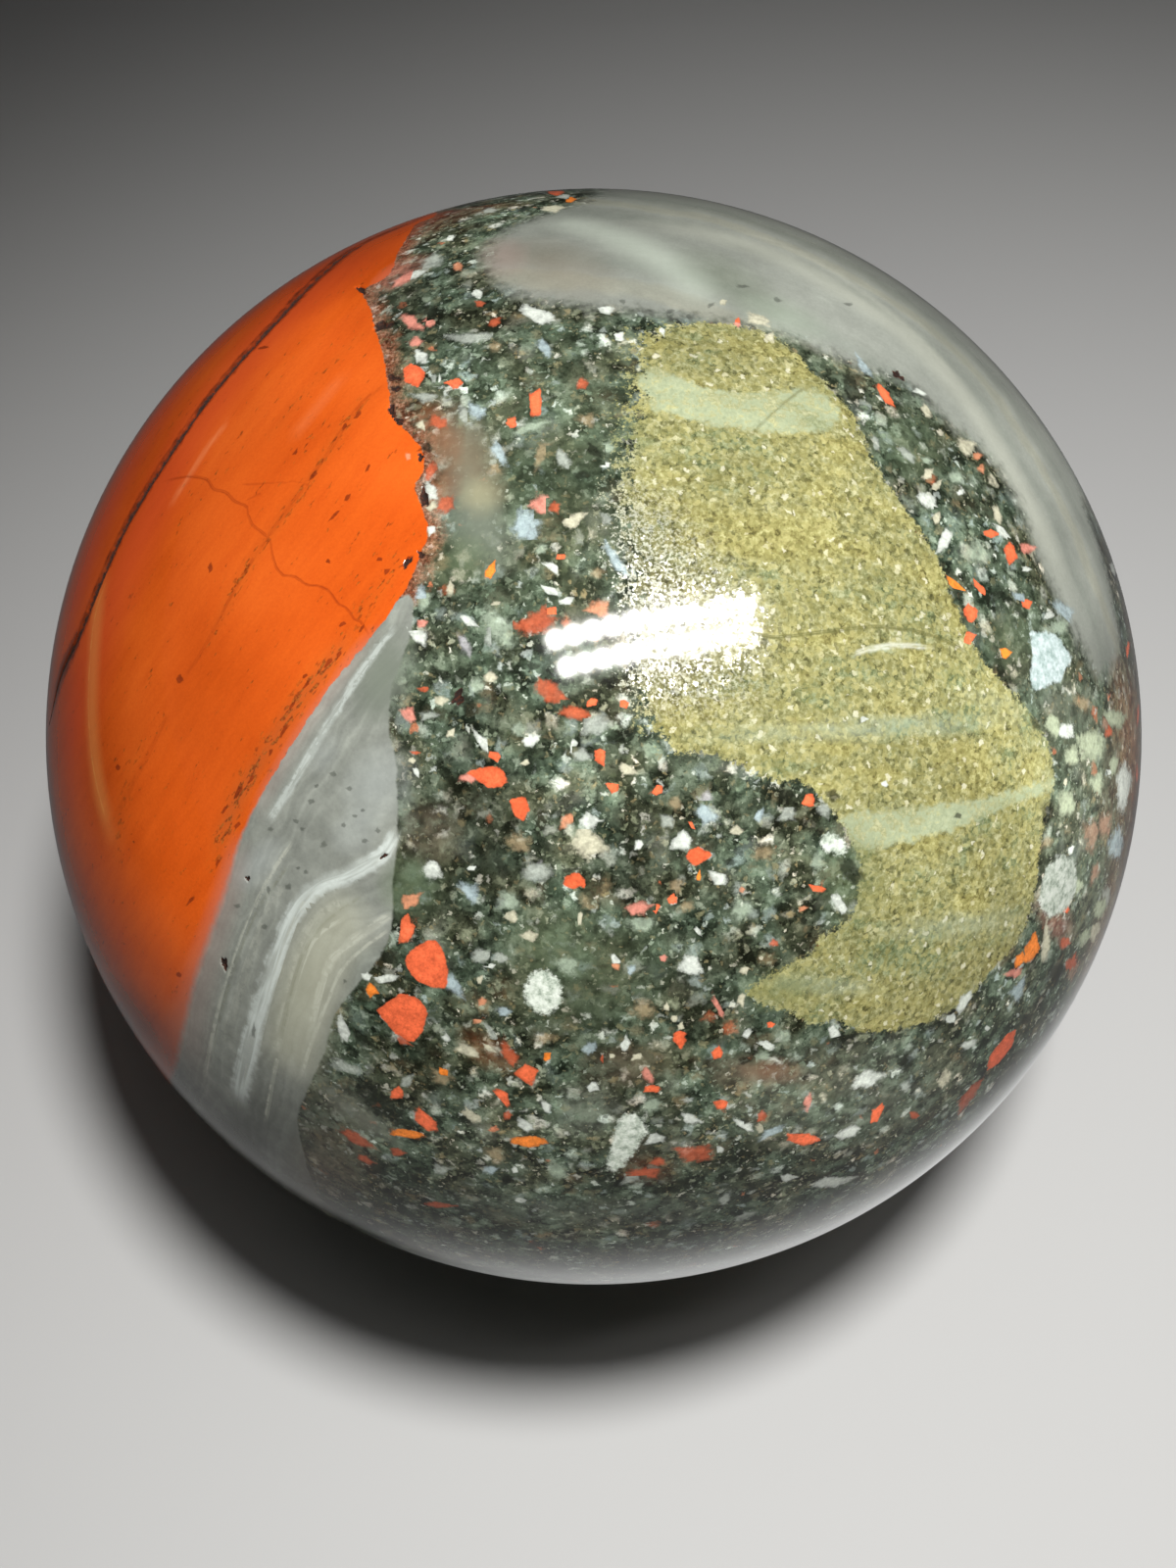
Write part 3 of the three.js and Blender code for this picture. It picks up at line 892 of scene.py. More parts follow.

# %% [markdown]
# A stain is a soft cloud of colour: the smoky windows where clear chalcedony lies over the chips, the
# red bleeding out of the jasper's edge, the green tints of the grey parts. A ribbon is the same along
# a curve, and a few ribbons are painted light: bright streaks on the jasper and a lighter band along
# the lens's rim. Both may overlap, so they are added up on the mesh points as one see-through colour.

# %% Stains
# Each row is the colour, how strongly it covers, then its place as in the rows of the chips.
STAINS = [
    ("smoke", 0.9, 476, 470, 120, 60, -68), ("ash", 0.85, 488, 535, 100, 62, -62),
    ("glim", 0.6, 490, 505, 40, 34), ("moss", 0.6, 470, 575, 60, 50, 40),
    ("rust", 0.4, 448, 440, 70, 30, -60), ("rust", 0.4, 450, 502, 44, 30, 60),
    ("pink", 0.3, 408, 280, 60, 22, 30), ("smoke", 0.55, 765, 1096, 90, 34, -5),
    ("rust", 0.35, 790, 1094, 60, 24), ("haze", 0.4, 595, 1135, 70, 50, 10),
    ("ash", 0.75, 370, 1142, 100, 26, -35), ("moss", 0.6, 418, 905, 60, 60), ("ash", 0.5, 414, 815, 20, 80),
    ("smoke", 0.3, 440, 850, 60, 60), ("ash", 0.4, 1085, 715, 70, 40, -30),
    ("leaf", 0.22, 1120, 840, 70, 320), ("moss", 0.5, 1030, 650, 50, 60, -30),
    ("moss", 0.4, 560, 960, 90, 60), ("moss", 0.4, 930, 455, 60, 90, 40),
    ("moss", 0.35, 600, 1000, 160, 120), ("veil", 0.15, 672, 265, 110, 44, -22),
    ("smoke", 0.4, 562, 272, 120, 50, -12), ("blush", 0.35, 512, 262, 50, 36),
    ("mint", 0.3, 800, 325, 90, 34, -20), ("moss", 0.28, 745, 288, 110, 42, -28),
    ("smoke", 0.5, 330, 1200, 80, 80), ("mint", 0.4, 900, 742, 290, 20, 3),
    ("mint", 0.25, 1010, 715, 60, 16, -20), ("mint", 0.3, 980, 945, 130, 26, 8),
    ("mint", 0.3, 840, 1006, 120, 20, -4), ("ash", 0.4, 600, 1240, 300, 30),
    ("rust", 0.3, 500, 1075, 70, 30, -30), ("rust", 0.25, 660, 1195, 60, 26),
    ("smoke", 0.35, 640, 1090, 90, 40), ("ash", 0.9, 392, 690, 90, 56, 70),
    ("beige", 0.2, 315, 1010, 150, 60, 70), ("fleck", 0.45, 270, 1150, 120, 60),
    ("ice", 0.2, 385, 800, 80, 60, 60), ("ice", 0.22, 262, 882, 60, 30, 50),
    ("ice", 0.15, 362, 850, 50, 40, 40), ("ice", 0.12, 330, 770, 40, 26, 60),
    ("olive", 0.5, 800, 1010, 90, 40, 10), ("olive", 0.4, 870, 900, 60, 90),
    ("moss", 0.25, 560, 470, 200, 260), ("haze", 0.28, 880, 1125, 220, 100, 10),
    ("rust", 0.35, -110, 610, 240, 120, 60), ("glow", 0.22, -50, 470, 200, 80, 50),
    ("rust", 0.3, -50, 900, 220, 110, -60), ("glow", 0.2, -150, 760, 180, 70, 80),
    ("pink", 0.3, -160, 450, 70, 40, 30),
]

# Where the stone is made darker or lighter: how many times as bright, then the place. Partly these are
# the stone's own darker and lighter regions, and partly painted light and shade: most rows lighten
# regions near the rim and low down, where the lamp falls off, and some darken regions that the lamp or
# the mirrored floor makes too bright.
PAINTED_LIGHT_AND_TONE = [
    (0.5, 480, 850, 200, 150, -60), (0.62, 610, 1000, 260, 120), (0.68, 430, 1080, 170, 110, -35),
    (0.85, 430, 330, 70, 60), (0.75, 480, 710, 120, 50, -30), (0.92, 740, 500, 130, 130),
    (0.85, 860, 385, 80, 30, -50), (0.85, 770, 880, 130, 90), (1.15, 970, 900, 140, 150),
    (1.9, 1115, 840, 90, 320), (1.9, 500, 230, 150, 44, 10), (1.5, 880, 1130, 220, 100, 10),
    (1.1, 970, 700, 110, 110), (1.35, 185, 900, 120, 260, 20), (1.25, 500, 1190, 160, 70, -20),
    (1.1, 640, 1275, 320, 60), (1.2, 330, 330, 170, 90, 48), (0.6, 135, 1045, 110, 70, -40),
    (0.84, 720, 362, 160, 56),
]
# The same for the grey chalcedony: painted light that lightens the lens along the rim, and rows that darken
# parts of the lens and the wedge.
GREY_PAINTED_LIGHT_AND_TONE = [
    (1.5, 1080, 470, 300, 120, -60), (1.3, 800, 235, 300, 90, -21), (1.15, 960, 330, 160, 80, -38),
    (0.9, 680, 275, 120, 60, -15), (0.77, 388, 700, 120, 80, 60), (0.92, 330, 840, 150, 100, 60),
    (0.85, 265, 1130, 100, 100), (1.35, 868, 322, 200, 90, -30), (1.16, 1000, 440, 260, 90, -50),
    (1.3, 1108, 615, 70, 120),
]

# Each ribbon is the colour, how strongly it covers, its half width in pixels and its stops.
RIBBONS = [
    ("vein cream", 0.36, 26, [
        (640, 226), (720, 240), (790, 262), (860, 300), (925, 345), (985, 410), (1030, 480), (1070, 560),
        (1100, 640),
    ]),
    # This veil ribbon runs along the upper right rim and is painted light: it lightens the lens where the
    # lamp falls off.
    ("veil", 0.35, 34, [(860, 215), (960, 290), (1040, 380), (1090, 470), (1120, 560)]),
    ("haze", 0.2, 18, [(560, 214), (640, 210), (740, 222), (850, 262), (960, 345), (1060, 470)]),
    ("blush", 0.35, 16, [(250, 850), (236, 900), (220, 950), (204, 1000), (192, 1050), (180, 1100)]),
    ("blush", 0.25, 10, [(392, 636), (350, 690), (310, 745), (280, 795), (256, 840)]),
    ("beige", 0.35, 34, [(380, 920), (340, 950), (315, 1000), (300, 1060), (290, 1110)]),
    ("blood", 0.5, 60, [(420, 210), (330, 285), (235, 390), (165, 500), (110, 620), (75, 740), (70, 850)]),
    ("blood", 0.55, 60, [(392, 200), (290, 275), (205, 365), (140, 460), (90, 570), (58, 690)]),
    ("crack tan", 0.3, 18, [
        (110, 580), (100, 620), (95, 680), (94, 740), (99, 795), (110, 845), (118, 870),
    ]),
    # These three glow ribbons are painted highlights: narrow bright streaks on the jasper.
    ("glow", 0.3, 5, [(236, 428), (218, 450), (204, 470), (190, 492), (172, 520)]),
    ("glow", 0.25, 5, [(134, 528), (122, 552), (112, 574), (102, 592)]),
    ("glow", 0.12, 9, [(352, 382), (330, 410), (312, 432), (296, 452)]),
    ("veil", 0.35, 22, [(552, 224), (605, 236), (655, 256), (700, 286), (735, 322)]),
    ("vein cream", 0.28, 8, [(740, 232), (810, 258), (880, 300), (940, 350), (990, 405)]),
    ("rust", 0.3, 9, [(366, 640), (338, 676), (300, 722), (270, 770), (240, 820), (215, 880)]),
]

# Where dark dashes crowd the jasper: how many, the half width in pixels and the stops.
DASH_BANDS = [
    (0.9, 10, [
        (400, 388), (372, 410), (352, 436), (338, 458), (318, 487), (300, 512), (280, 540), (262, 566),
        (240, 602), (222, 636), (204, 668),
    ]),
    (1.0, 16, [
        (372, 636), (346, 664), (320, 696), (296, 730), (272, 768), (245, 808), (228, 850), (210, 900),
    ]),
    (0.5, 10, [(390, 330), (360, 352), (330, 382), (296, 420), (262, 462)]),
    (0.7, 12, [(416, 560), (396, 590), (372, 622), (350, 650)]),
    (0.5, 14, [(150, 740), (132, 790), (122, 840), (118, 900)]),
    (0.7, 30, [(60, 380), (-20, 500), (-60, 640), (-70, 760), (-50, 880)]),
    (0.6, 26, [(-40, 330), (-130, 460), (-170, 620), (-170, 780), (-130, 900)]),
]
print(len(STAINS), "stains,", len(RIBBONS), "ribbons and", len(PAINTED_LIGHT_AND_TONE) + len(GREY_PAINTED_LIGHT_AND_TONE), "shades")

# %% [markdown]
# A cloud and a ribbon both fade out at their edge, so that no stain shows a border. The shades work
# alike, but they are multiplied: they make a region of the stone darker or lighter, partly as its own
# tone and partly as painted light and shade.

# %% Lay the stains
CLOUD_EDGE = (1.25, 0.25)  # where a cloud ends and where it is full, in its half axes
CLOUD_CURVE = 0.7
RIBBON_EDGE = (1.2, 0.2)  # the same across a ribbon, in its half widths
RIBBON_TAPER = 0.15  # the share of its length over which each end runs out
STILL_SEEN = 0.02


def soft_ribbon(half_width, stops):
    """How much a ribbon covers each mesh point, from 1 along its middle to 0 at its edge."""
    pixels = smooth_route(stops, spacing=3)
    route = on_ball(pixels)
    at, distance = nearest(route, round_points)
    scale = np.linalg.norm(np.gradient(route, axis=0), axis=1) / np.linalg.norm(
        np.gradient(pixels, axis=0), axis=1)
    ends = ramp(np.minimum(at, len(route) - 1 - at), 0, RIBBON_TAPER * len(route))
    return ramp(distance / (half_width * scale[at]), *RIBBON_EDGE) * ends


def soft_cloud(*shape):
    """The same for a cloud, 1 near its middle."""
    middle, to_parts, _ = frame_of(*shape)
    return ramp(np.linalg.norm((round_points - middle) @ to_parts.T, axis=1), *CLOUD_EDGE)


def give_stains():
    covers = [(kind, strength * soft_ribbon(*ribbon)) for kind, strength, *ribbon in RIBBONS]
    covers += [(kind, strength * soft_cloud(*shape) ** CLOUD_CURVE) for kind, strength, *shape in STAINS]
    total = np.zeros((len(round_points), 4))
    for kind, cover in covers:
        total = np.outer(cover, (*linear_colour(COLOURS[kind]), 1)) + total * (1 - cover[:, None])
    keep_attribute("stain", total, "FLOAT_COLOR", "POINT")
    return int((total[:, 3] > STILL_SEEN).sum())


# Painted light and shade, together with the stone's own tone, as one factor on each mesh point.
def give_painted_light_and_tone(name, rows):
    total = np.ones(len(round_points))
    for times_as_bright, *shape in rows:
        total *= 1 + (times_as_bright - 1) * soft_cloud(*shape)
    keep_attribute(name, total)


print(len(STAINS), "stains and", len(RIBBONS), "ribbons on", give_stains(), "points")
give_painted_light_and_tone("painted_light_and_tone", PAINTED_LIGHT_AND_TONE)
give_painted_light_and_tone("grey shade", GREY_PAINTED_LIGHT_AND_TONE)
dash_crowd = np.max([much * soft_ribbon(wide, stops) for much, wide, stops in DASH_BANDS], axis=0)
keep_attribute("dash crowd", dash_crowd)

# %% [markdown]
# ## Layers of the chalcedony
# The grey parts grew in layers. In the wedge the layers run along the jasper's edge, and in the lens
# they run along its long pale streak. One number for each mesh point says how far it is from there.

# %% Layers of the chalcedony
LENS_STREAK = [
    (430, 236), (560, 222), (690, 236), (760, 256), (830, 285), (905, 328), (967, 378), (1015, 440),
    (1058, 510), (1092, 585), (1130, 690),
]
BEYOND_BAND = 20  # puts the layers beyond the white band in another part of the noise
SHARP_EDGE_MM, SOFTER_EDGE_MM = 0.03, 0.3
SOFTER_FROM_Y = (790, 930)
SOFTER_BY_WEDGE = (-1.5, -0.5)


def side_distance(stops):
    """Millimetres from a line through the stops, positive on its right-hand side in the picture."""
    route = on_ball(smooth_route(stops, spacing=3))
    at, _ = nearest(route, round_points)
    return np.einsum("ni,ni->n", round_points - route[at], side_arrows(route)[at]) / MM


band_side = side_distance(WEDGE_BAND)
wedge_layer = np.where(band_side > 0, band_side + BEYOND_BAND, depths["jasper"])
# Low down, where the jasper meets the wedge, its edge grows soft.
softer = ramp(plan_y, *SOFTER_FROM_Y) * ramp(depths["wedge"], *SOFTER_BY_WEDGE)
keep_attribute("jasper edge", SHARP_EDGE_MM + SOFTER_EDGE_MM * softer)
layer_place = np.where(depths["lens"] > depths["wedge"], side_distance(LENS_STREAK), wedge_layer)
keep_attribute("layer", layer_place)
print("layers from", round(float(layer_place.min()), 1), "to", round(float(layer_place.max()), 1), "mm")

# %% [markdown]
# ## The texture map
# The finished material can be painted onto a square picture through this map. An eight-sided unfolding
# uses the whole square: the upper half of the ball fills a diamond in the middle and the lower half folds
# out into the four corners. This version also keeps every patch the same share of the square.

# %% Texture map
MAP_MARGIN = 0.003


def unfold_ball():
    sides = np.sign((middles + SMALLEST)[corner_face])
    away = round_points[corner_point] / ball_radius
    inner = np.sqrt(np.clip(1 - np.abs(away[:, 2]), 0, 1))
    turn = np.arctan2(np.abs(away[:, 1]), np.abs(away[:, 0])) / (math.pi / 2)
    v = turn * inner
    u = inner - v
    lower = sides[:, 2] < 0
    u, v = np.where(lower, 1 - v, u), np.where(lower, 1 - u, v)
    spots = np.stack([u * sides[:, 0], v * sides[:, 1]], axis=1)
    spots = 0.5 + spots * (0.5 - MAP_MARGIN)
    layer = ball.data.uv_layers.new(name="OFBake")
    layer.data.foreach_set("uv", spots.astype(np.float32).ravel())
    return spots


spots = unfold_ball()
print("map from", spots.min(axis=0).round(3), "to", spots.max(axis=0).round(3))

# %% [markdown]
# ## Small tools for the material
# A node takes three lines to add by hand. These helpers add one and wire it in one line, and take
# a number or another node's output alike.

# %% Node helpers
def add_node(tree, kind, inputs=None, **settings):
    made = tree.nodes.new(kind)
    for name, value in settings.items():
        setattr(made, name, value)
    for name, value in (inputs or {}).items():
        if isinstance(value, bpy.types.NodeSocket):
            tree.links.new(value, made.inputs[name])
        else:
            made.inputs[name].default_value = value
    return made


def calc(tree, operation, *values):
    return add_node(tree, "ShaderNodeMath", dict(enumerate(values)), operation=operation).outputs[0]


def times(tree, *values):
    product = values[0]
    for value in values[1:]:
        product = calc(tree, "MULTIPLY", product, value)
    return product


def line(tree, value, gain, start):
    """The start where the value is 0, and one gain more where it is 1."""
    return calc(tree, "MULTIPLY_ADD", value, gain, start)


def one_minus(tree, value):
    return calc(tree, "SUBTRACT", 1.0, value)


def swing(tree, noise, width):
    """A noise from 0 to 1, turned into a number that goes half the width to both sides of 0."""
    return times(tree, calc(tree, "SUBTRACT", noise, 0.5), width)


def arrow(tree, operation, *values):
    made = add_node(tree, "ShaderNodeVectorMath", dict(enumerate(values)), operation=operation)
    return made.outputs["Value" if operation in ("DOT_PRODUCT", "LENGTH") else "Vector"]


def stretch(tree, vector, amount):
    return add_node(tree, "ShaderNodeVectorMath", {0: vector, "Scale": amount}, operation="SCALE").outputs[0]


def joined(tree, **sides):
    return add_node(tree, "ShaderNodeCombineXYZ", sides).outputs[0]


def sides_of(tree, vector):
    return add_node(tree, "ShaderNodeSeparateXYZ", {"Vector": vector}).outputs


def luck_of(tree, colour):
    """Three random numbers from 0 to 1, taken from a random colour."""
    return add_node(tree, "ShaderNodeSeparateColor", {"Color": colour}).outputs


def fade(tree, value, low, high):
    """0 below low, 1 above high and a smooth slope between them."""
    return add_node(
        tree, "ShaderNodeMapRange", {"Value": value, "From Min": low, "From Max": high},
        interpolation_type="SMOOTHSTEP",
    ).outputs["Result"]


def mix(tree, factor, under, over, blend="MIX"):
    made = add_node(
        tree, "ShaderNodeMix", {0: factor, 6: under, 7: over}, data_type="RGBA", blend_type=blend)
    return made.outputs[2]


print("helpers for numbers, arrows and mixes are ready")

# %% [markdown]
# Noise is the other half of the work. Its size is given in millimetres here, and a ramp turns it
# into colours that are written as the codes a colour picker shows.

# %% Helpers for noise, colour and groups
def cloud(tree, vector, size, detail=2.0, roughness=0.5):
    """Noise from 0 to 1 whose lumps are about size millimetres apart."""
    return add_node(tree, "ShaderNodeTexNoise", {
        "Vector": vector, "Scale": 1 / size, "Detail": detail, "Roughness": roughness}).outputs["Fac"]


def tones(tree, factor, *stops, sharp=False):
    """A ramp through the stops, each a place from 0 to 1 and a colour code."""
    made = add_node(tree, "ShaderNodeValToRGB", {"Fac": factor})
    made.color_ramp.interpolation = "CONSTANT" if sharp else "LINEAR"
    while len(made.color_ramp.elements) < len(stops):
        made.color_ramp.elements.new(0.5)
    for element, (place, code) in zip(made.color_ramp.elements, stops):
        element.position = place
        element.color = (*linear_colour(code), 1)
    return made.outputs["Color"]


def shaded(tree, colour, noise, width):
    """The colour darkened and lightened by a noise that is 0.5 on average."""
    return stretch(tree, colour, line(tree, noise, width, 1 - width / 2))


def new_group(name, inputs, outputs):
    """An empty node group, with what comes in and where it goes out."""
    tree = bpy.data.node_groups.new(name, "ShaderNodeTree")
    for title, kind, value in inputs:
        socket = tree.interface.new_socket(name=title, in_out="INPUT", socket_type="NodeSocket" + kind)
        if value is not None:
            socket.default_value = value
    for title, kind in outputs:
        tree.interface.new_socket(name=title, in_out="OUTPUT", socket_type="NodeSocket" + kind)
    return tree, tree.nodes.new("NodeGroupInput").outputs, tree.nodes.new("NodeGroupOutput").inputs


def give_out(tree, out, **results):
    """Wires each result to the group's output of that name, with a space for each underscore."""
    for name, socket in results.items():
        tree.links.new(socket, out[name.replace("_", " ")])


def use(tree, group, inputs):
    return add_node(tree, "ShaderNodeGroup", inputs, node_tree=group).outputs


print("helpers for noise, colour and groups are ready")

# %% [markdown]
# ## Broken chips
# Breccia is packed with angular chips of many sizes. A Voronoi texture fills space with flat-sided
# cells, and the ball cuts through them as a saw cuts through real chips. This group keeps a share of
# the cells, shrinks each to a chip with gaps round it, and gives every chip a random number.

# %% Group: broken chips
def pick_cells(tree, vector, scale, share):
    """A Voronoi cell round each spot, its three random numbers, and whether it is one of the share."""
    cell = add_node(tree, "ShaderNodeTexVoronoi", {"Vector": vector, "Scale": scale}, feature="F1").outputs
    luck = luck_of(tree, cell["Color"])
    return cell, luck, calc(tree, "LESS_THAN", luck["Red"], share)


def build_broken_chips():
    tree, given, out = new_group(
        "broken chips",
        [("Place", "Vector", None), ("Size", "Float", 0.5), ("Share", "Float", 0.5),
         ("Gap", "Float", 0.08), ("Softness", "Float", 0.04), ("Seed", "Float", 0.0)],
        [("Mask", "Float"), ("Tone", "Float"), ("Tone 2", "Float")],
    )
    seed = given["Seed"]
    place = arrow(tree, "ADD", given["Place"], joined(tree, X=seed, Y=seed, Z=seed))
    scale = calc(tree, "DIVIDE", 1.0, given["Size"])
    cell, luck, kept = pick_cells(tree, place, scale, given["Share"])
    edge = add_node(
        tree, "ShaderNodeTexVoronoi", {"Vector": place, "Scale": scale}, feature="DISTANCE_TO_EDGE")
    gap = times(tree, given["Gap"], line(tree, luck["Blue"], 1.6, 0.4))
    inside = fade(tree, edge.outputs["Distance"], gap, calc(tree, "ADD", gap, given["Softness"]))
    give_out(tree, out, Mask=times(tree, kept, inside), Tone=luck["Green"], Tone_2=luck["Blue"])
    return tree


broken_chips = build_broken_chips()
print("group:", broken_chips.name)

# %% [markdown]
# ## Small grains
# Grains of a fifth of a millimetre are too small to show flat sides, so this group draws them round,
# which is quicker: it asks only how far each spot is from its cell's middle.

# %% Group: small grains
def build_small_grains():
    tree, given, out = new_group(
        "small grains",
        [("Place", "Vector", None), ("Size", "Float", 0.2), ("Share", "Float", 0.5),
         ("Reach", "Float", 0.5)],
        [("Mask", "Float"), ("Tone", "Float"), ("Tone 2", "Float")],
    )
    scale = calc(tree, "DIVIDE", 1.0, given["Size"])
    cell, luck, kept = pick_cells(tree, given["Place"], scale, given["Share"])
    reach = given["Reach"]
    near = one_minus(tree, fade(tree, cell["Distance"], times(tree, reach, 0.6), reach))
    give_out(tree, out, Mask=times(tree, kept, near), Tone=luck["Green"], Tone_2=luck["Blue"])
    return tree


small_grains = build_small_grains()
print("group:", small_grains.name)

# %% [markdown]
# ## Ragged edges
# Turns a depth in millimetres into a mask. A wobble of noise is added first, so that the edge runs in
# and out like broken or grown stone.

# %% Group: ragged edge
def build_ragged_edge():
    tree, given, out = new_group(
        "ragged edge",
        [("Depth", "Float", 0.0), ("Noise", "Float", 0.5), ("Wobble", "Float", 0.2),
         ("Softness", "Float", 0.04)],
        [("Mask", "Float")],
    )
    wobble = swing(tree, given["Noise"], times(tree, given["Wobble"], 2.0))
    soft = given["Softness"]
    depth = calc(tree, "ADD", given["Depth"], wobble)
    give_out(tree, out, Mask=fade(tree, depth, times(tree, soft, -1.0), soft))
    return tree


ragged_edge = build_ragged_edge()
print("group:", ragged_edge.name)

# %% [markdown]
# ## The shape of one chip
# Five straight cuts at random turns and distances leave an angular piece. The place along and across
# the chip comes from the mesh, and its seed gives each chip cuts of its own. A faint chip lies deeper
# in the stone, so its edge is more ragged and softer.

# %% Group: chip shape
CHIP_CUTS = 5
CUT_SEED_STEP = 17.3


def build_chip_shape():
    tree, given, out = new_group(
        "chip shape",
        [("Spot", "Vector", None), ("Ripple", "Vector", None), ("Strength", "Float", 1.0)],
        [("Mask", "Float"), ("Core", "Float")],
    )
    spot = sides_of(tree, given["Spot"])
    faint = one_minus(tree, given["Strength"])
    raggedness = stretch(tree, given["Ripple"], line(tree, faint, 3.5, 0.7))
    flat = arrow(tree, "ADD", joined(tree, X=spot["X"], Y=spot["Y"]), raggedness)
    depth = None
    for number in range(CHIP_CUTS):
        seed = calc(tree, "ADD", spot["Z"], CUT_SEED_STEP * number)
        luck = add_node(tree, "ShaderNodeTexWhiteNoise", {"W": seed}, noise_dimensions="1D")
        luck = luck_of(tree, luck.outputs["Color"])
        turn = line(tree, luck["Red"], 1.1, 2 * math.pi * number / CHIP_CUTS)
        way = joined(tree, X=calc(tree, "COSINE", turn), Y=calc(tree, "SINE", turn))
        reach = line(tree, luck["Green"], 0.25, 0.78)
        cut = calc(tree, "SUBTRACT", reach, arrow(tree, "DOT_PRODUCT", flat, way))
        depth = cut if depth is None else calc(tree, "MINIMUM", depth, cut)
    soft = line(tree, faint, 0.9, 0.07)
    mask = fade(tree, depth, times(tree, soft, -1.0), soft)
    give_out(tree, out, Mask=mask, Core=fade(tree, depth, 0.0, 0.45))
    return tree


chip_shape = build_chip_shape()
print("group:", chip_shape.name)

# %% [markdown]
# ## The green breccia
# Four sizes of chips lie over a mottled dark green ground. The large ones are faint, as if they lay
# below the surface. A few chips are white, black or red. Slow noise makes whole regions darker or
# lighter.

# %% Group: green breccia
def build_green_breccia():
    tree, given, out = new_group(
        "green breccia", [("Place", "Vector", None), ("Flecks", "Float", 0.5)], [("Colour", "Color")])
    place = given["Place"]
    ground = tones(tree, cloud(tree, place, 1.0, detail=4.0, roughness=0.65),
                   (0.34, "161A13"), (0.45, "2B3227"), (0.55, "4A5344"), (0.66, "707967"), (0.78, "979D8C"))

    def lay(under, chips, cover, *stops):
        colour = shaded(tree, tones(tree, chips["Tone"], *stops, sharp=True), given["Flecks"], 1.7)
        faint = times(tree, chips["Mask"], line(tree, chips["Tone 2"], 0.55 * cover, 0.45 * cover))
        return mix(tree, faint, under, colour)

    def chips_of(size, share, gap, softness, seed):
        return use(tree, broken_chips, {
            "Place": place, "Size": size, "Share": share, "Gap": gap, "Softness": softness, "Seed": seed})

    colour = lay(ground, chips_of(1.6, 0.8, 0.02, 0.5, 3.1), 0.7, (0, "2A3126"), (0.25, "4F5A49"),
                 (0.45, "6A7462"), (0.6, "6E6855"), (0.73, "7F8982"), (0.86, "5F5340"), (0.93, "A2A797"))
    colour = lay(colour, chips_of(0.8, 0.66, 0.04, 0.32, 7.7), 0.95, (0, "151A12"), (0.18, "384234"),
                 (0.31, "5F6C5A"), (0.45, "83907D"), (0.57, "7D755D"), (0.67, "949F99"), (0.79, "B6BCAE"),
                 (0.92, "E2E5DA"), (0.985, "C8704E"))
    crumbs = use(tree, small_grains, {"Place": place, "Size": 0.19, "Share": 0.5, "Reach": 0.6})
    colour = lay(colour, crumbs, 0.68, (0, "191D16"), (0.26, "465040"), (0.44, "74806B"), (0.62, "969F8C"),
                 (0.8, "837D60"), (0.94, "CED2C4"))
    colour = lay(colour, chips_of(0.42, 0.36, 0.05, 0.28, 13.9), 0.95, (0, "151912"), (0.17, "424C3B"),
                 (0.32, "74806D"), (0.5, "97A08D"), (0.62, "888264"), (0.72, "A9B1AC"), (0.87, "DDE1D6"),
                 (0.985, "D07C5A"))
    tint = tones(
        tree, cloud(tree, place, 2.0, detail=1.0), (0.38, "FFEEDC"), (0.5, "F6F5EE"), (0.62, "E6F2EC"))
    colour = mix(tree, 0.8, colour, tint, "MULTIPLY")
    colour = shaded(tree, colour, cloud(tree, place, 4.5, detail=2.0, roughness=0.6), 2.0)
    give_out(tree, out, Colour=colour)
    return tree


green_breccia = build_green_breccia()
print("group:", green_breccia.name)

# %% [markdown]
# ## The jasper
# Red jasper is laid down in thin beds. The beds are flat sheets through the stone, so their lines on
# the ball come from one direction in space: the direction square to two of the streaks in the picture.

# %% Group: jasper
STREAK_A = ((396, 392), (262, 566))
STREAK_B = ((346, 668), (243, 808))
STREAKS_TOO_ALIKE = 0.15


def bed_direction():
    (a0, a1), (b0, b1) = on_ball(STREAK_A), on_ball(STREAK_B)
    square = np.cross(a1 - a0, b1 - b0)
    if np.linalg.norm(square) < STREAKS_TOO_ALIKE * np.linalg.norm(a1 - a0) * np.linalg.norm(b1 - b0):
        square = np.cross(a1 - a0, a0 + a1)
    return Vector(square).normalized()


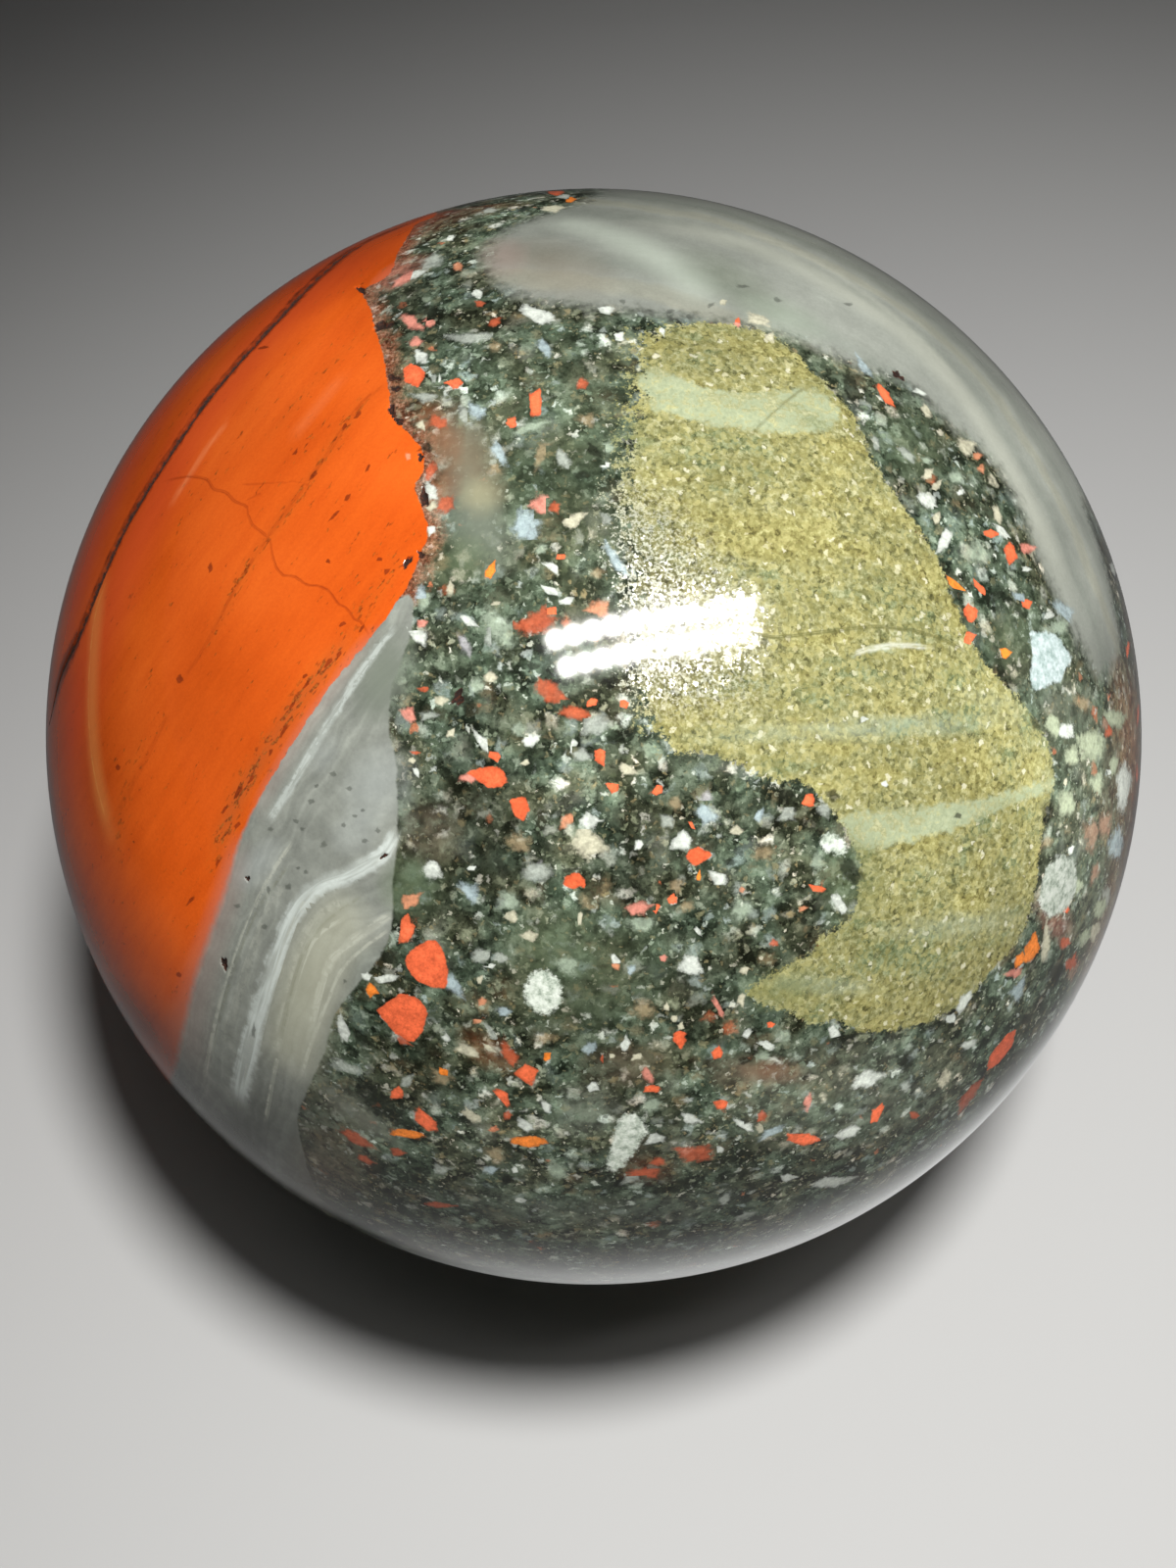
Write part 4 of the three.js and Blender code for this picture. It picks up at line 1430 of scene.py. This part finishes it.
def build_jasper():
    tree, given, out = new_group(
        "jasper", [("Place", "Vector", None), ("Flecks", "Float", 0.5), ("Crowd", "Float", 0.0)],
        [("Colour", "Color")])
    flecks, crowded = given["Flecks"], given["Crowd"]
    bed_turn = bed_direction().to_track_quat("Z", "Y").inverted().to_euler()
    beds = add_node(tree, "ShaderNodeVectorRotate", {
        "Vector": given["Place"], "Rotation": bed_turn}, rotation_type="EULER_XYZ").outputs[0]
    colour = tones(tree, cloud(tree, given["Place"], 8.0), (0.3, "CE5816"), (0.5, "D6611C"), (0.7, "DC6A22"))
    streaks = cloud(tree, arrow(tree, "MULTIPLY", beds, (0.14, 0.14, 1.0)), 0.5, detail=4.0, roughness=0.65)
    greys = tones(tree, streaks, (0.3, "989898"), (0.5, "808080"), (0.72, "565656"))
    colour = mix(tree, 0.35, colour, greys, "OVERLAY")
    colour = mix(tree, 0.22, colour, tones(tree, flecks, (0.3, "585858"), (0.7, "A8A8A8")), "OVERLAY")
    dashes = cloud(tree, arrow(tree, "MULTIPLY", beds, (0.3, 0.3, 1.0)), 0.15)
    crowd = calc(tree, "MAXIMUM", times(tree, fade(tree, streaks, 0.45, 0.62), 0.8), crowded)
    colour = mix(tree, times(tree, crowded, 0.22), colour, (*linear_colour("A8561C"), 1))
    dark = times(tree, fade(tree, line(tree, crowded, 0.13, dashes), 0.63, 0.72), crowd)
    colour = mix(tree, dark, colour, tones(tree, flecks, (0.42, "6A2A0E"), (0.62, "9C5A20")))
    give_out(tree, out, Colour=colour)
    return tree


jasper_group = build_jasper()
print("beds lie square to", [round(v, 2) for v in bed_direction()])

# %% [markdown]
# ## The chalcedony
# Chalcedony is grey quartz that grew in layers. The layer number from the mesh is bent by noise, and
# a one-way noise turns it into bands of slightly different greys.

# %% Group: chalcedony
def build_chalcedony():
    tree, given, out = new_group(
        "chalcedony",
        [("Place", "Vector", None), ("Layer", "Float", 0.0), ("Streaks", "Float", 0.5),
         ("Flecks", "Float", 0.5)],
        [("Colour", "Color")],
    )
    bend = cloud(tree, given["Place"], 3.2, detail=3.0, roughness=0.55)
    layer = joined(tree, X=line(tree, bend, 1.8, given["Layer"]))
    broad = cloud(tree, layer, 2.4, detail=0.0)
    fine = cloud(tree, layer, 0.55)
    mottle = cloud(tree, given["Place"], 1.4, detail=4.0, roughness=0.6)
    colour = tones(tree, broad, (0.34, "797D74"), (0.46, "7F8279"), (0.58, "868980"), (0.7, "8A8B7E"))
    colour = mix(tree, given["Streaks"], colour, shaded(tree, shaded(tree, colour, fine, 1.5), mottle, 0.8))
    colour = shaded(tree, colour, mottle, 0.35)
    give_out(tree, out, Colour=shaded(tree, colour, given["Flecks"], 0.3))
    return tree


chalcedony_group = build_chalcedony()
print("group:", chalcedony_group.name)

# %% [markdown]
# ## The pyrite field
# Here tiny pyrite crystals, a quarter of a millimetre across, crowd a green ground. Each crystal is a
# small mirror that leans its own way, so some flash near the lamp's reflection. The group gives their
# mask for the metal and a random lean for the normal.

# %% Group: pyrite field
PYRITE_LAYER_TILT = math.radians(-6)


def build_pyrite_field():
    tree, given, out = new_group(
        "pyrite field",
        [("Place", "Vector", None), ("Pale", "Float", 0.0), ("Flecks", "Float", 0.5)],
        [("Colour", "Color"), ("Metal", "Float"), ("Lean", "Vector")],
    )
    place = given["Place"]
    curls = cloud(tree, place, 0.34, detail=3.0, roughness=0.62)
    crumbs = calc(tree, "MULTIPLY_ADD", curls, 0.7, times(tree, given["Flecks"], 0.3))
    layers = add_node(tree, "ShaderNodeMapping", {
        "Vector": place, "Rotation": (0, PYRITE_LAYER_TILT, 0), "Scale": (0.22, 0.9, 0.9)}).outputs[0]
    drift = cloud(tree, layers, 1.9, detail=3.0, roughness=0.6)
    gold = tones(tree, crumbs, (0.36, "4A4A2E"), (0.45, "75744A"), (0.54, "8E8D62"), (0.64, "AEAC84"))
    honey = tones(tree, crumbs, (0.36, "504B2A"), (0.45, "7E7848"), (0.54, "96925C"), (0.64, "B4B07C"))
    olive = tones(tree, crumbs, (0.36, "424B31"), (0.47, "68714E"), (0.6, "8C936E"))
    colour = mix(tree, fade(tree, drift, 0.38, 0.5), honey, gold)
    colour = mix(tree, fade(tree, drift, 0.52, 0.66), colour, olive)
    pale = tones(tree, crumbs, (0.3, "868F70"), (0.5, "9CA484"), (0.7, "B2B99A"))
    speckled = fade(tree, calc(tree, "MULTIPLY_ADD", curls, 0.6, times(tree, drift, 0.4)), 0.46, 0.55)
    colour = mix(tree, times(tree, given["Pale"], line(tree, speckled, -0.75, 1.0)), colour, pale)
    crystals = use(tree, small_grains, {"Place": place, "Size": 0.24, "Share": 0.8, "Reach": 0.75})
    tone = crystals["Tone"]
    seen = times(tree, crystals["Mask"], one_minus(tree, times(tree, given["Pale"], 0.9)))
    metal = times(tree, seen, calc(tree, "GREATER_THAN", tone, 0.4))
    grain = tones(tree, tone, (0.0, "35351F"), (0.14, "6E6B3E"), (0.4, "8C8751"), (0.7, "A49E66"),
                  (0.93, "B6AF75"), (0.99, "E2DEC4"))
    colour = mix(tree, times(tree, seen, 0.55), colour, grain)
    third = calc(tree, "FRACT", times(tree, tone, 7.0))
    lean = arrow(tree, "SUBTRACT", joined(tree, X=tone, Y=crystals["Tone 2"], Z=third), (0.5, 0.5, 0.5))
    give_out(tree, out, Colour=colour, Metal=metal, Lean=stretch(tree, lean, seen))
    return tree


pyrite_group = build_pyrite_field()
print("group:", pyrite_group.name)

# %% [markdown]
# ## The whole stone
# One material lays the parts over each other, as a painter lays glazes: breccia, chalcedony, pyrite,
# jasper, then stains, veins, chips and the dark of the hollows. Each has a cell of its own below. All
# share one place, in millimetres, and the same noises, so that their edges break up alike.

# %% Material: place and noises
MM_IN_A_METRE = 1000.0
RIPPLES_PER_MM = 2.8
RIPPLE_WIDTH_MM = 0.6
FLECK_MM = 0.15
LUMP_MM = 0.5
CRAZE_MM = 0.45

material = bpy.data.materials.new("african_bloodstone")
material.use_nodes = True
tree = material.node_tree
tree.nodes.clear()
place = stretch(tree, add_node(tree, "ShaderNodeTexCoord").outputs["Object"], MM_IN_A_METRE)
ripple = add_node(tree, "ShaderNodeTexNoise", {
    "Vector": place, "Scale": RIPPLES_PER_MM, "Detail": 3.5, "Roughness": 0.65}).outputs["Color"]
ripple = arrow(tree, "SUBTRACT", ripple, (0.5, 0.5, 0.5))
rippled = arrow(tree, "ADD", place, stretch(tree, ripple, RIPPLE_WIDTH_MM))
flecks = cloud(tree, place, FLECK_MM, detail=2.5, roughness=0.7)
lumps = cloud(tree, place, LUMP_MM, detail=3.0, roughness=0.6)
grainy = calc(tree, "MULTIPLY_ADD", flecks, 0.5, times(tree, lumps, 0.5))


def all_from_mesh(name):
    return add_node(tree, "ShaderNodeAttribute", attribute_name=name).outputs


def from_mesh(name, output="Fac"):
    return all_from_mesh(name)[output]


def edge(name, wobble, softness, noise=lumps):
    """Where a part of the stone lies. Its edge wobbles and is soft by so many millimetres."""
    return use(tree, ragged_edge, {
        "Depth": from_mesh(name), "Noise": noise, "Wobble": wobble, "Softness": softness})["Mask"]


print("place, ripple and three noises:", len(tree.nodes), "nodes")

# %% [markdown]
# ### Breccia and chalcedony
# The breccia is the ground of everything. The place that it is drawn at is rippled, so that its chips
# are not cut quite straight. The grey wedge shows its layers much more than the lens does.

# %% Material: breccia and chalcedony
LENS_STREAKS, MORE_WEDGE_STREAKS = 0.12, 0.63

# Painted light and shade, with the stone's own darker and lighter regions: the breccia, the pyrite and the
# jasper are multiplied by it, and the chips take its lightening.
painted_light_and_tone = from_mesh("painted_light_and_tone")
colour = use(tree, green_breccia, {"Place": rippled, "Flecks": flecks})["Colour"]
colour = stretch(tree, colour, painted_light_and_tone)
wedge_mask = edge("wedge", 0.12, 0.08)
grey_mask = calc(tree, "MAXIMUM", wedge_mask, edge("lens", 0.9, 0.85))
grey = use(tree, chalcedony_group, {
    "Place": place, "Layer": from_mesh("layer"), "Flecks": flecks,
    "Streaks": line(tree, wedge_mask, MORE_WEDGE_STREAKS, LENS_STREAKS)})["Colour"]
# The grey parts are multiplied by painted light and shade of their own.
colour = mix(tree, grey_mask, colour, stretch(tree, grey, from_mesh("grey shade")))
print("with breccia and chalcedony:", len(tree.nodes), "nodes")

# %% [markdown]
# ### Pyrite
# The field's upper left edge is loose: grains are strewn out of it. Where the polish is uneven, beside
# the lamp's reflection, silver and dark glints are painted into the grains' colour: a painted highlight.

# %% Material: pyrite
PAINTED_GLINT_SHARE = 0.6

loose = from_mesh("pyrite edge")
pyrite_mask = edge("pyrite", line(tree, loose, 4.0, 0.9), line(tree, loose, 0.3, 0.1), grainy)
pyrite = use(tree, pyrite_group, {
    "Place": rippled, "Pale": edge("pale band", 0.5, 0.18), "Flecks": flecks})
uneven_and_painted_glints = from_mesh("uneven polish and painted glints")
# Painted highlight: glints of the lamp, laid into the base colour.
painted_glints = tones(tree, flecks, (0.42, "35352A"), (0.5, "77776A"), (0.57, "CFD1CA"))
gold = mix(tree, times(tree, uneven_and_painted_glints, PAINTED_GLINT_SHARE), stretch(tree, pyrite["Colour"], painted_light_and_tone), painted_glints)
colour = mix(tree, pyrite_mask, colour, gold)
print("with pyrite:", len(tree.nodes), "nodes")

# %% [markdown]
# ### Jasper
# Iron has bled out of the jasper into the breccia beside it, but not into the grey chalcedony. The
# jasper itself goes over that.

# %% Material: jasper
BLEED_MM = (-1.2, 0.0)
BLEED_WOBBLE_MM = 2.4

bleed = fade(tree, calc(tree, "ADD", from_mesh("jasper"), swing(tree, lumps, BLEED_WOBBLE_MM)), *BLEED_MM)
bleed = times(tree, bleed, line(tree, grey_mask, -0.5, 0.5))
colour = mix(tree, bleed, colour, tones(tree, flecks, (0.35, "5A2E1C"), (0.5, "9A5236"), (0.65, "C78E74")))
jasper = use(tree, jasper_group, {"Place": place, "Flecks": flecks, "Crowd": from_mesh("dash crowd")})
jasper_mask = edge("jasper", 0.16, from_mesh("jasper edge"))
colour = mix(tree, jasper_mask, colour, stretch(tree, jasper["Colour"], painted_light_and_tone))
print("with jasper:", len(tree.nodes), "nodes")

# %% [markdown]
# ### Stains
# A faint stain on the breccia is patchy, because it soaks some chips and not others. A strong stain,
# and any stain on jasper or chalcedony, is smooth. The stain's colour is already thinned by its cover
# on the mesh, so it is added, and the stone below is dimmed by as much.

# %% Material: stains
stain = all_from_mesh("stain")
patchy = line(tree, fade(tree, lumps, 0.3, 0.62), 0.7, 0.45)
smooth = calc(tree, "MAXIMUM", fade(tree, stain["Alpha"], 0.4, 0.7), calc(
    tree, "MAXIMUM", grey_mask, jasper_mask))
patchy = add_node(tree, "ShaderNodeMix", {0: smooth, 2: patchy, 3: 1.0}, data_type="FLOAT").outputs[0]
colour = stretch(tree, colour, one_minus(tree, times(tree, stain["Alpha"], patchy)))
colour = arrow(tree, "ADD", colour, stretch(tree, stain["Color"], patchy))
print("with stains:", len(tree.nodes), "nodes")

# %% [markdown]
# ### Veins
# A vein is broken up in two ways: by gaps along it, and by lumps where it is faint. The long open
# crack is the first vein, with seed 0, and it is never broken.

# %% Material: veins
VEIN_SHAKE = 1.2  # in half widths
VEIN_EDGE = (0.35, 1.35)
VEIN_TAPER = 0.06
STRANDS = (1.6, 5.0, 1.0)  # how fast the noise of the gaps changes across, along and between veins
UNBROKEN_BELOW = 1.0

vein_place = from_mesh("vein place", "Vector")
vein_spot = sides_of(tree, vein_place)
vein_colour = all_from_mesh("vein colour")
across = calc(tree, "ABSOLUTE", calc(tree, "ADD", vein_spot["X"], swing(tree, lumps, VEIN_SHAKE)))
runs_out = fade(tree, calc(tree, "PINGPONG", vein_spot["Y"], 0.5), 0.0, VEIN_TAPER)
strands = cloud(tree, arrow(tree, "MULTIPLY", vein_place, STRANDS), 1.0)
gaps = times(tree, one_minus(tree, fade(tree, strands, 0.36, 0.56)), 0.6)
faintness = one_minus(tree, vein_colour["Alpha"])
torn = times(tree, one_minus(tree, fade(tree, lumps, 0.42, 0.52)), faintness)
may_break = calc(tree, "GREATER_THAN", vein_spot["Z"], UNBROKEN_BELOW)
broken = times(tree, calc(tree, "MAXIMUM", gaps, torn), may_break)
vein_mask = times(tree, one_minus(tree, fade(tree, across, *VEIN_EDGE)), runs_out, one_minus(tree, broken))
vein_mask = times(tree, vein_mask, vein_colour["Alpha"])
colour = mix(tree, vein_mask, colour, vein_colour["Color"])
print("with veins:", len(tree.nodes), "nodes")

# %% [markdown]
# ### Placed chips
# Each chip is cut out by its own place on the mesh. It is darker round its rim and uneven in tone, and
# where painted light makes the stone lighter, the chip is lighter too.

# %% Material: placed chips
RIM_TONE = 0.72

chip_colour = all_from_mesh("chip colour")
chip = use(tree, chip_shape, {
    "Spot": from_mesh("chip place", "Vector"), "Ripple": ripple, "Strength": chip_colour["Alpha"]})
tone = line(tree, fade(tree, lumps, 0.36, 0.54), 0.26, 0.8)
tint = stretch(tree, shaded(tree, chip_colour["Color"], flecks, 0.9), tone)
tint = mix(tree, chip["Core"], stretch(tree, tint, RIM_TONE), tint)
# Painted light: a chip is lightened where the stone is.
tint = stretch(tree, tint, calc(tree, "MAXIMUM", painted_light_and_tone, 1.0))
chip_mask = times(tree, chip["Mask"], chip_colour["Alpha"])
colour = mix(tree, chip_mask, colour, tint)
print("with placed chips:", len(tree.nodes), "nodes")

# %% [markdown]
# ### Large chips
# The largest chips have outlines on the plan. The red ones are darker along the rim, and the white and
# blue ones are crazed: fine cracks run through them like through old glaze.

# %% Material: large chips
red = shaded(tree, shaded(tree, linear_colour("DC643E"), flecks, 1.1), lumps, 1.1)
red = stretch(tree, red, line(tree, fade(tree, from_mesh("red chip"), 0.0, 0.3), 0.22, 0.8))
colour = mix(tree, edge("red chip", 0.14, 0.04), colour, red)
crazed = cloud(tree, place, CRAZE_MM, detail=3.5, roughness=0.7)
white = tones(tree, crazed, (0.36, "8F9A8B"), (0.46, "B6BFAF"), (0.58, "D3D9CC"))
colour = mix(tree, edge("white chip", 0.45, 0.13, grainy), colour, shaded(tree, white, flecks, 0.6))
blue = tones(tree, crazed, (0.36, "9DB0AA"), (0.47, "B7C8C4"), (0.6, "D2DEDC"))
colour = mix(tree, edge("blue chip", 0.3, 0.1), colour, shaded(tree, blue, flecks, 0.5))
print("with large chips:", len(tree.nodes), "nodes")

# %% [markdown]
# ### Hollows
# The grinding never reached the crack and the pits, so they are dull. They are also dark: partly the
# black filling that they hold, and partly painted shade in the hollows. The noise makes their rim
# crumble, and the second fade keeps the dark off the polish beside them.

# %% Material: hollows
hollow = from_mesh("hollow")
crumbling = calc(tree, "MULTIPLY_ADD", grainy, 2.6, calc(tree, "SUBTRACT", hollow, 1.3))
hollow_mask = times(tree, fade(tree, crumbling, 0.2, 0.5), fade(tree, hollow, 0.02, 0.2))
# Painted shade, with the hollows' own black filling.
colour = mix(tree, hollow_mask, colour, tones(tree, flecks, (0.48, "1C0E08"), (0.66, "46200E")))
print("with hollows:", len(tree.nodes), "nodes")

# %% [markdown]
# ### The polish
# The stone is ground with finer and finer grit until it is nearly a mirror. Quartz has an index of
# refraction of 1.54. Pyrite takes the polish a little worse, and each of its crystals leans, which
# tilts the normal. The hollows are rough.

# %% Material: polish
QUARTZ_IOR = 1.54
POLISHED, PYRITE_ROUGHER, HOLLOW_ROUGHER = 0.07, 0.02, 0.8
COAT, COAT_ROUGHNESS = 0.12, 0.08
METAL_SHARE = 0.04
CRYSTAL_LEAN = 0.05
EVEN_LEAN, MORE_UNEVEN_LEAN = 0.04, 1.5

bare = one_minus(tree, calc(tree, "MAXIMUM", jasper_mask, chip_mask))
grainy_part = times(tree, pyrite_mask, bare)
rough = line(tree, grainy_part, PYRITE_ROUGHER, POLISHED)
rough = calc(tree, "ADD", rough, times(tree, hollow_mask, HOLLOW_ROUGHER))
threads = times(tree, uneven_and_painted_glints, fade(tree, flecks, 0.49, 0.57))
unevenness = stretch(tree, ripple, line(tree, threads, MORE_UNEVEN_LEAN, EVEN_LEAN))
lean = arrow(tree, "ADD", stretch(tree, pyrite["Lean"], CRYSTAL_LEAN), unevenness)
normal = add_node(tree, "ShaderNodeNewGeometry").outputs["Normal"]
leaning = arrow(tree, "NORMALIZE", arrow(tree, "ADD", normal, stretch(tree, lean, grainy_part)))
shader = add_node(tree, "ShaderNodeBsdfPrincipled", {
    "Base Color": colour, "Metallic": times(tree, grainy_part, pyrite["Metal"], METAL_SHARE),
    "Roughness": rough, "IOR": QUARTZ_IOR, "Normal": leaning,
    "Coat Weight": line(tree, hollow_mask, -COAT, COAT), "Coat Roughness": COAT_ROUGHNESS})
output = add_node(tree, "ShaderNodeOutputMaterial")
tree.links.new(shader.outputs["BSDF"], output.inputs["Surface"])
ball.data.materials.clear()
ball.data.materials.append(material)
print("material:", material.name, "with", len(tree.nodes), "nodes")

# %% [markdown]
# ## The floor
# The floor is plain and pale, and far off it turns into an even backdrop. A polished ball mirrors all
# of it, so two things are different in reflections alone: the floor is darker, so that the ball's rim
# stays dark, and a bright place lies close to the ball's foot, at the front, where the photograph
# shows one in the ball's lower rim.

# %% Floor
FLOOR_SIZE = 4.0
FLOOR_COLOUR = (0.37, 0.366, 0.357, 1)
FLOOR_IN_REFLECTIONS = (0.09, 0.09, 0.09, 1)
FLOOR_ROUGHNESS = 0.6
BACKDROP_COLOUR = (0.80, 0.81, 0.80, 1)
BACKDROP_STRENGTH = 0.36
FAR_FLOOR = (0.115, 0.28)  # where the floor starts to turn into the backdrop and where it has, in metres
# The bright place starts and ends at these distances from the ball's foot, round this direction.
RIM_LIGHT_START = (0.020, 0.028)
RIM_LIGHT_END = (0.030, 0.053)
RIM_LIGHT_SIDE = (0.55, -0.835, 0.0)
RIM_LIGHT_SPREAD = (0.35, 0.95)
RIM_LIGHT_STRENGTH = 0.72


def make_floor():
    bpy.ops.object.select_all(action="DESELECT")
    bpy.ops.mesh.primitive_plane_add(size=FLOOR_SIZE, location=(0, 0, 0))
    floor = bpy.context.object
    floor.name = "floor"
    material = bpy.data.materials.new("pale_floor")
    material.use_nodes = True
    tree = material.node_tree
    shader = tree.nodes["Principled BSDF"]
    seen_by = add_node(tree, "ShaderNodeLightPath").outputs
    spot = add_node(tree, "ShaderNodeTexCoord").outputs["Object"]
    reach = arrow(tree, "LENGTH", spot)
    front = arrow(tree, "DOT_PRODUCT", arrow(tree, "NORMALIZE", spot), RIM_LIGHT_SIDE)
    near = times(
        tree, fade(tree, reach, *RIM_LIGHT_START), one_minus(tree, fade(tree, reach, *RIM_LIGHT_END)))
    rim_light = times(tree, near, fade(tree, front, *RIM_LIGHT_SPREAD), RIM_LIGHT_STRENGTH)
    far = times(tree, fade(tree, reach, *FAR_FLOOR), BACKDROP_STRENGTH)
    glow = calc(tree, "MULTIPLY_ADD", far, seen_by["Is Camera Ray"], times(
        tree, rim_light, seen_by["Is Glossy Ray"]))
    colour = mix(tree, seen_by["Is Glossy Ray"], FLOOR_COLOUR, FLOOR_IN_REFLECTIONS)
    tree.links.new(colour, shader.inputs["Base Color"])
    tree.links.new(stretch(tree, BACKDROP_COLOUR[:3], glow), shader.inputs["Emission Color"])
    shader.inputs["Emission Strength"].default_value = 1.0
    shader.inputs["Roughness"].default_value = FLOOR_ROUGHNESS
    material.cycles.emission_sampling = "NONE"
    floor.data.materials.append(material)
    return floor


floor = make_floor()
print("floor:", floor.name)

# %% [markdown]
# ## The lamp
# In the photograph the lamp shows on the ball as two slim rows of round lights. A mirror sends a
# camera ray off along one line, so the rows are found by following the two ends of each from the ball
# up to the height of the lamp. They are seen in the polish alone: another light lights the stone.

# %% Lamp rows
LAMP_HEIGHT = 0.34
LAMP_ROWS = [((553, 656), (766, 618)), ((566, 683), (766, 648))]
LAMP_ROW_WIDTH_PX = 25
LAMP_ROW_WATTS = 1.2
LAMP_COLOUR = (1.0, 0.98, 0.94)
LAMPS_IN_ROW = 11
LAMP_RADIUS = 0.52  # in parts of their distance, so that neighbours just touch


def mirrored(spot, height):
    """Where a light must be for its reflection to be seen at this pixel."""
    start = on_ball(spot)[0]
    square = start / np.linalg.norm(start)
    point = start + np.array(ball_centre)
    seen_from = np.array(camera.location) - point
    seen_from /= np.linalg.norm(seen_from)
    way = 2 * (square @ seen_from) * square - seen_from
    return Vector(point + way * (height - point[2]) / way[2])


def face_ball(light, place, along):
    """Puts a light at its place, its long side along a direction and its front to the ball."""
    back = (place - ball_centre).normalized()
    across = back.cross(along).normalized()
    turn = Matrix((across.cross(back), across, back)).transposed().to_4x4()
    light.matrix_world = Matrix.Translation(place) @ turn


def split_row(settings):
    """Splits a row of light into round lamps."""
    settings.use_nodes = True
    tree = settings.node_tree
    spot = sides_of(tree, add_node(tree, "ShaderNodeNewGeometry").outputs["Parametric"])
    along = calc(tree, "SUBTRACT", calc(tree, "FRACT", times(tree, spot["X"], LAMPS_IN_ROW)), 0.5)
    across = swing(tree, spot["Y"], LAMPS_IN_ROW * settings.size_y / settings.size)
    away = arrow(tree, "LENGTH", joined(tree, X=along, Y=across))
    lit = calc(tree, "LESS_THAN", away, LAMP_RADIUS)
    tree.links.new(lit, tree.nodes["Emission"].inputs["Strength"])


def make_lamp_row(number, ends):
    (x0, y0), (x1, y1) = ends
    start, end = mirrored((x0, y0), LAMP_HEIGHT), mirrored((x1, y1), LAMP_HEIGHT)
    middle = (start + end) / 2
    edge = mirrored(((x0 + x1) / 2, (y0 + y1) / 2 + LAMP_ROW_WIDTH_PX), LAMP_HEIGHT)
    settings = bpy.data.lights.new(f"lamp_row_{number}", "AREA")
    settings.shape = "RECTANGLE"
    settings.size = (end - start).length
    settings.size_y = (edge - middle).length
    settings.energy = LAMP_ROW_WATTS
    settings.color = LAMP_COLOUR
    split_row(settings)
    row = bpy.data.objects.new(settings.name, settings)
    row.visible_diffuse = False
    face_ball(row, middle, (end - start).normalized())
    bpy.context.scene.collection.objects.link(row)
    return settings


for number, ends in enumerate(LAMP_ROWS, start=1):
    row = make_lamp_row(number, ends)
    print(f"{row.name}: {row.size / MM:.0f} by {row.size_y / MM:.0f} mm")

# %% [markdown]
# ## The soft light
# The light that falls on the stone and the floor comes from about the same place as the lamp. It is a
# wide spotlight with a soft edge, which leaves the far floor in the dark, and the polish doesn't
# mirror it. The world adds the backdrop that the camera sees and a faint fill for everything else.

# %% Soft light and world
KEY_SPOT = (660, 650)  # where the polish would mirror it, if it weren't shifted
KEY_SHIFT = Vector((-0.020, 0.024, 0.0))
KEY_HEIGHT = 0.34
KEY_AIM = Vector((0.037, -0.070, 0.0))
KEY_WATTS = 8.2
KEY_RADIUS = 0.026
KEY_CONE = math.radians(60)
KEY_BLEND = 1.0
FILL_STRENGTH = 0.028


def make_key():
    settings = bpy.data.lights.new("soft_key", "SPOT")
    settings.energy = KEY_WATTS
    settings.shadow_soft_size = KEY_RADIUS
    settings.spot_size = KEY_CONE
    settings.spot_blend = KEY_BLEND
    key = bpy.data.objects.new("soft_key", settings)
    key.location = mirrored(KEY_SPOT, KEY_HEIGHT) + KEY_SHIFT
    key.rotation_euler = (KEY_AIM - key.location).to_track_quat("-Z", "Y").to_euler()
    key.visible_glossy = False
    bpy.context.scene.collection.objects.link(key)
    return key


def make_world():
    world = bpy.data.worlds.new("studio")
    world.use_nodes = True
    tree = world.node_tree
    background = tree.nodes["Background"]
    background.inputs["Color"].default_value = BACKDROP_COLOUR
    seen = add_node(tree, "ShaderNodeLightPath").outputs["Is Camera Ray"]
    strength = calc(tree, "MAXIMUM", FILL_STRENGTH, times(tree, seen, BACKDROP_STRENGTH))
    tree.links.new(strength, background.inputs["Strength"])
    bpy.context.scene.world = world


key = make_key()
make_world()
bpy.context.scene.view_settings.view_transform = "Standard"
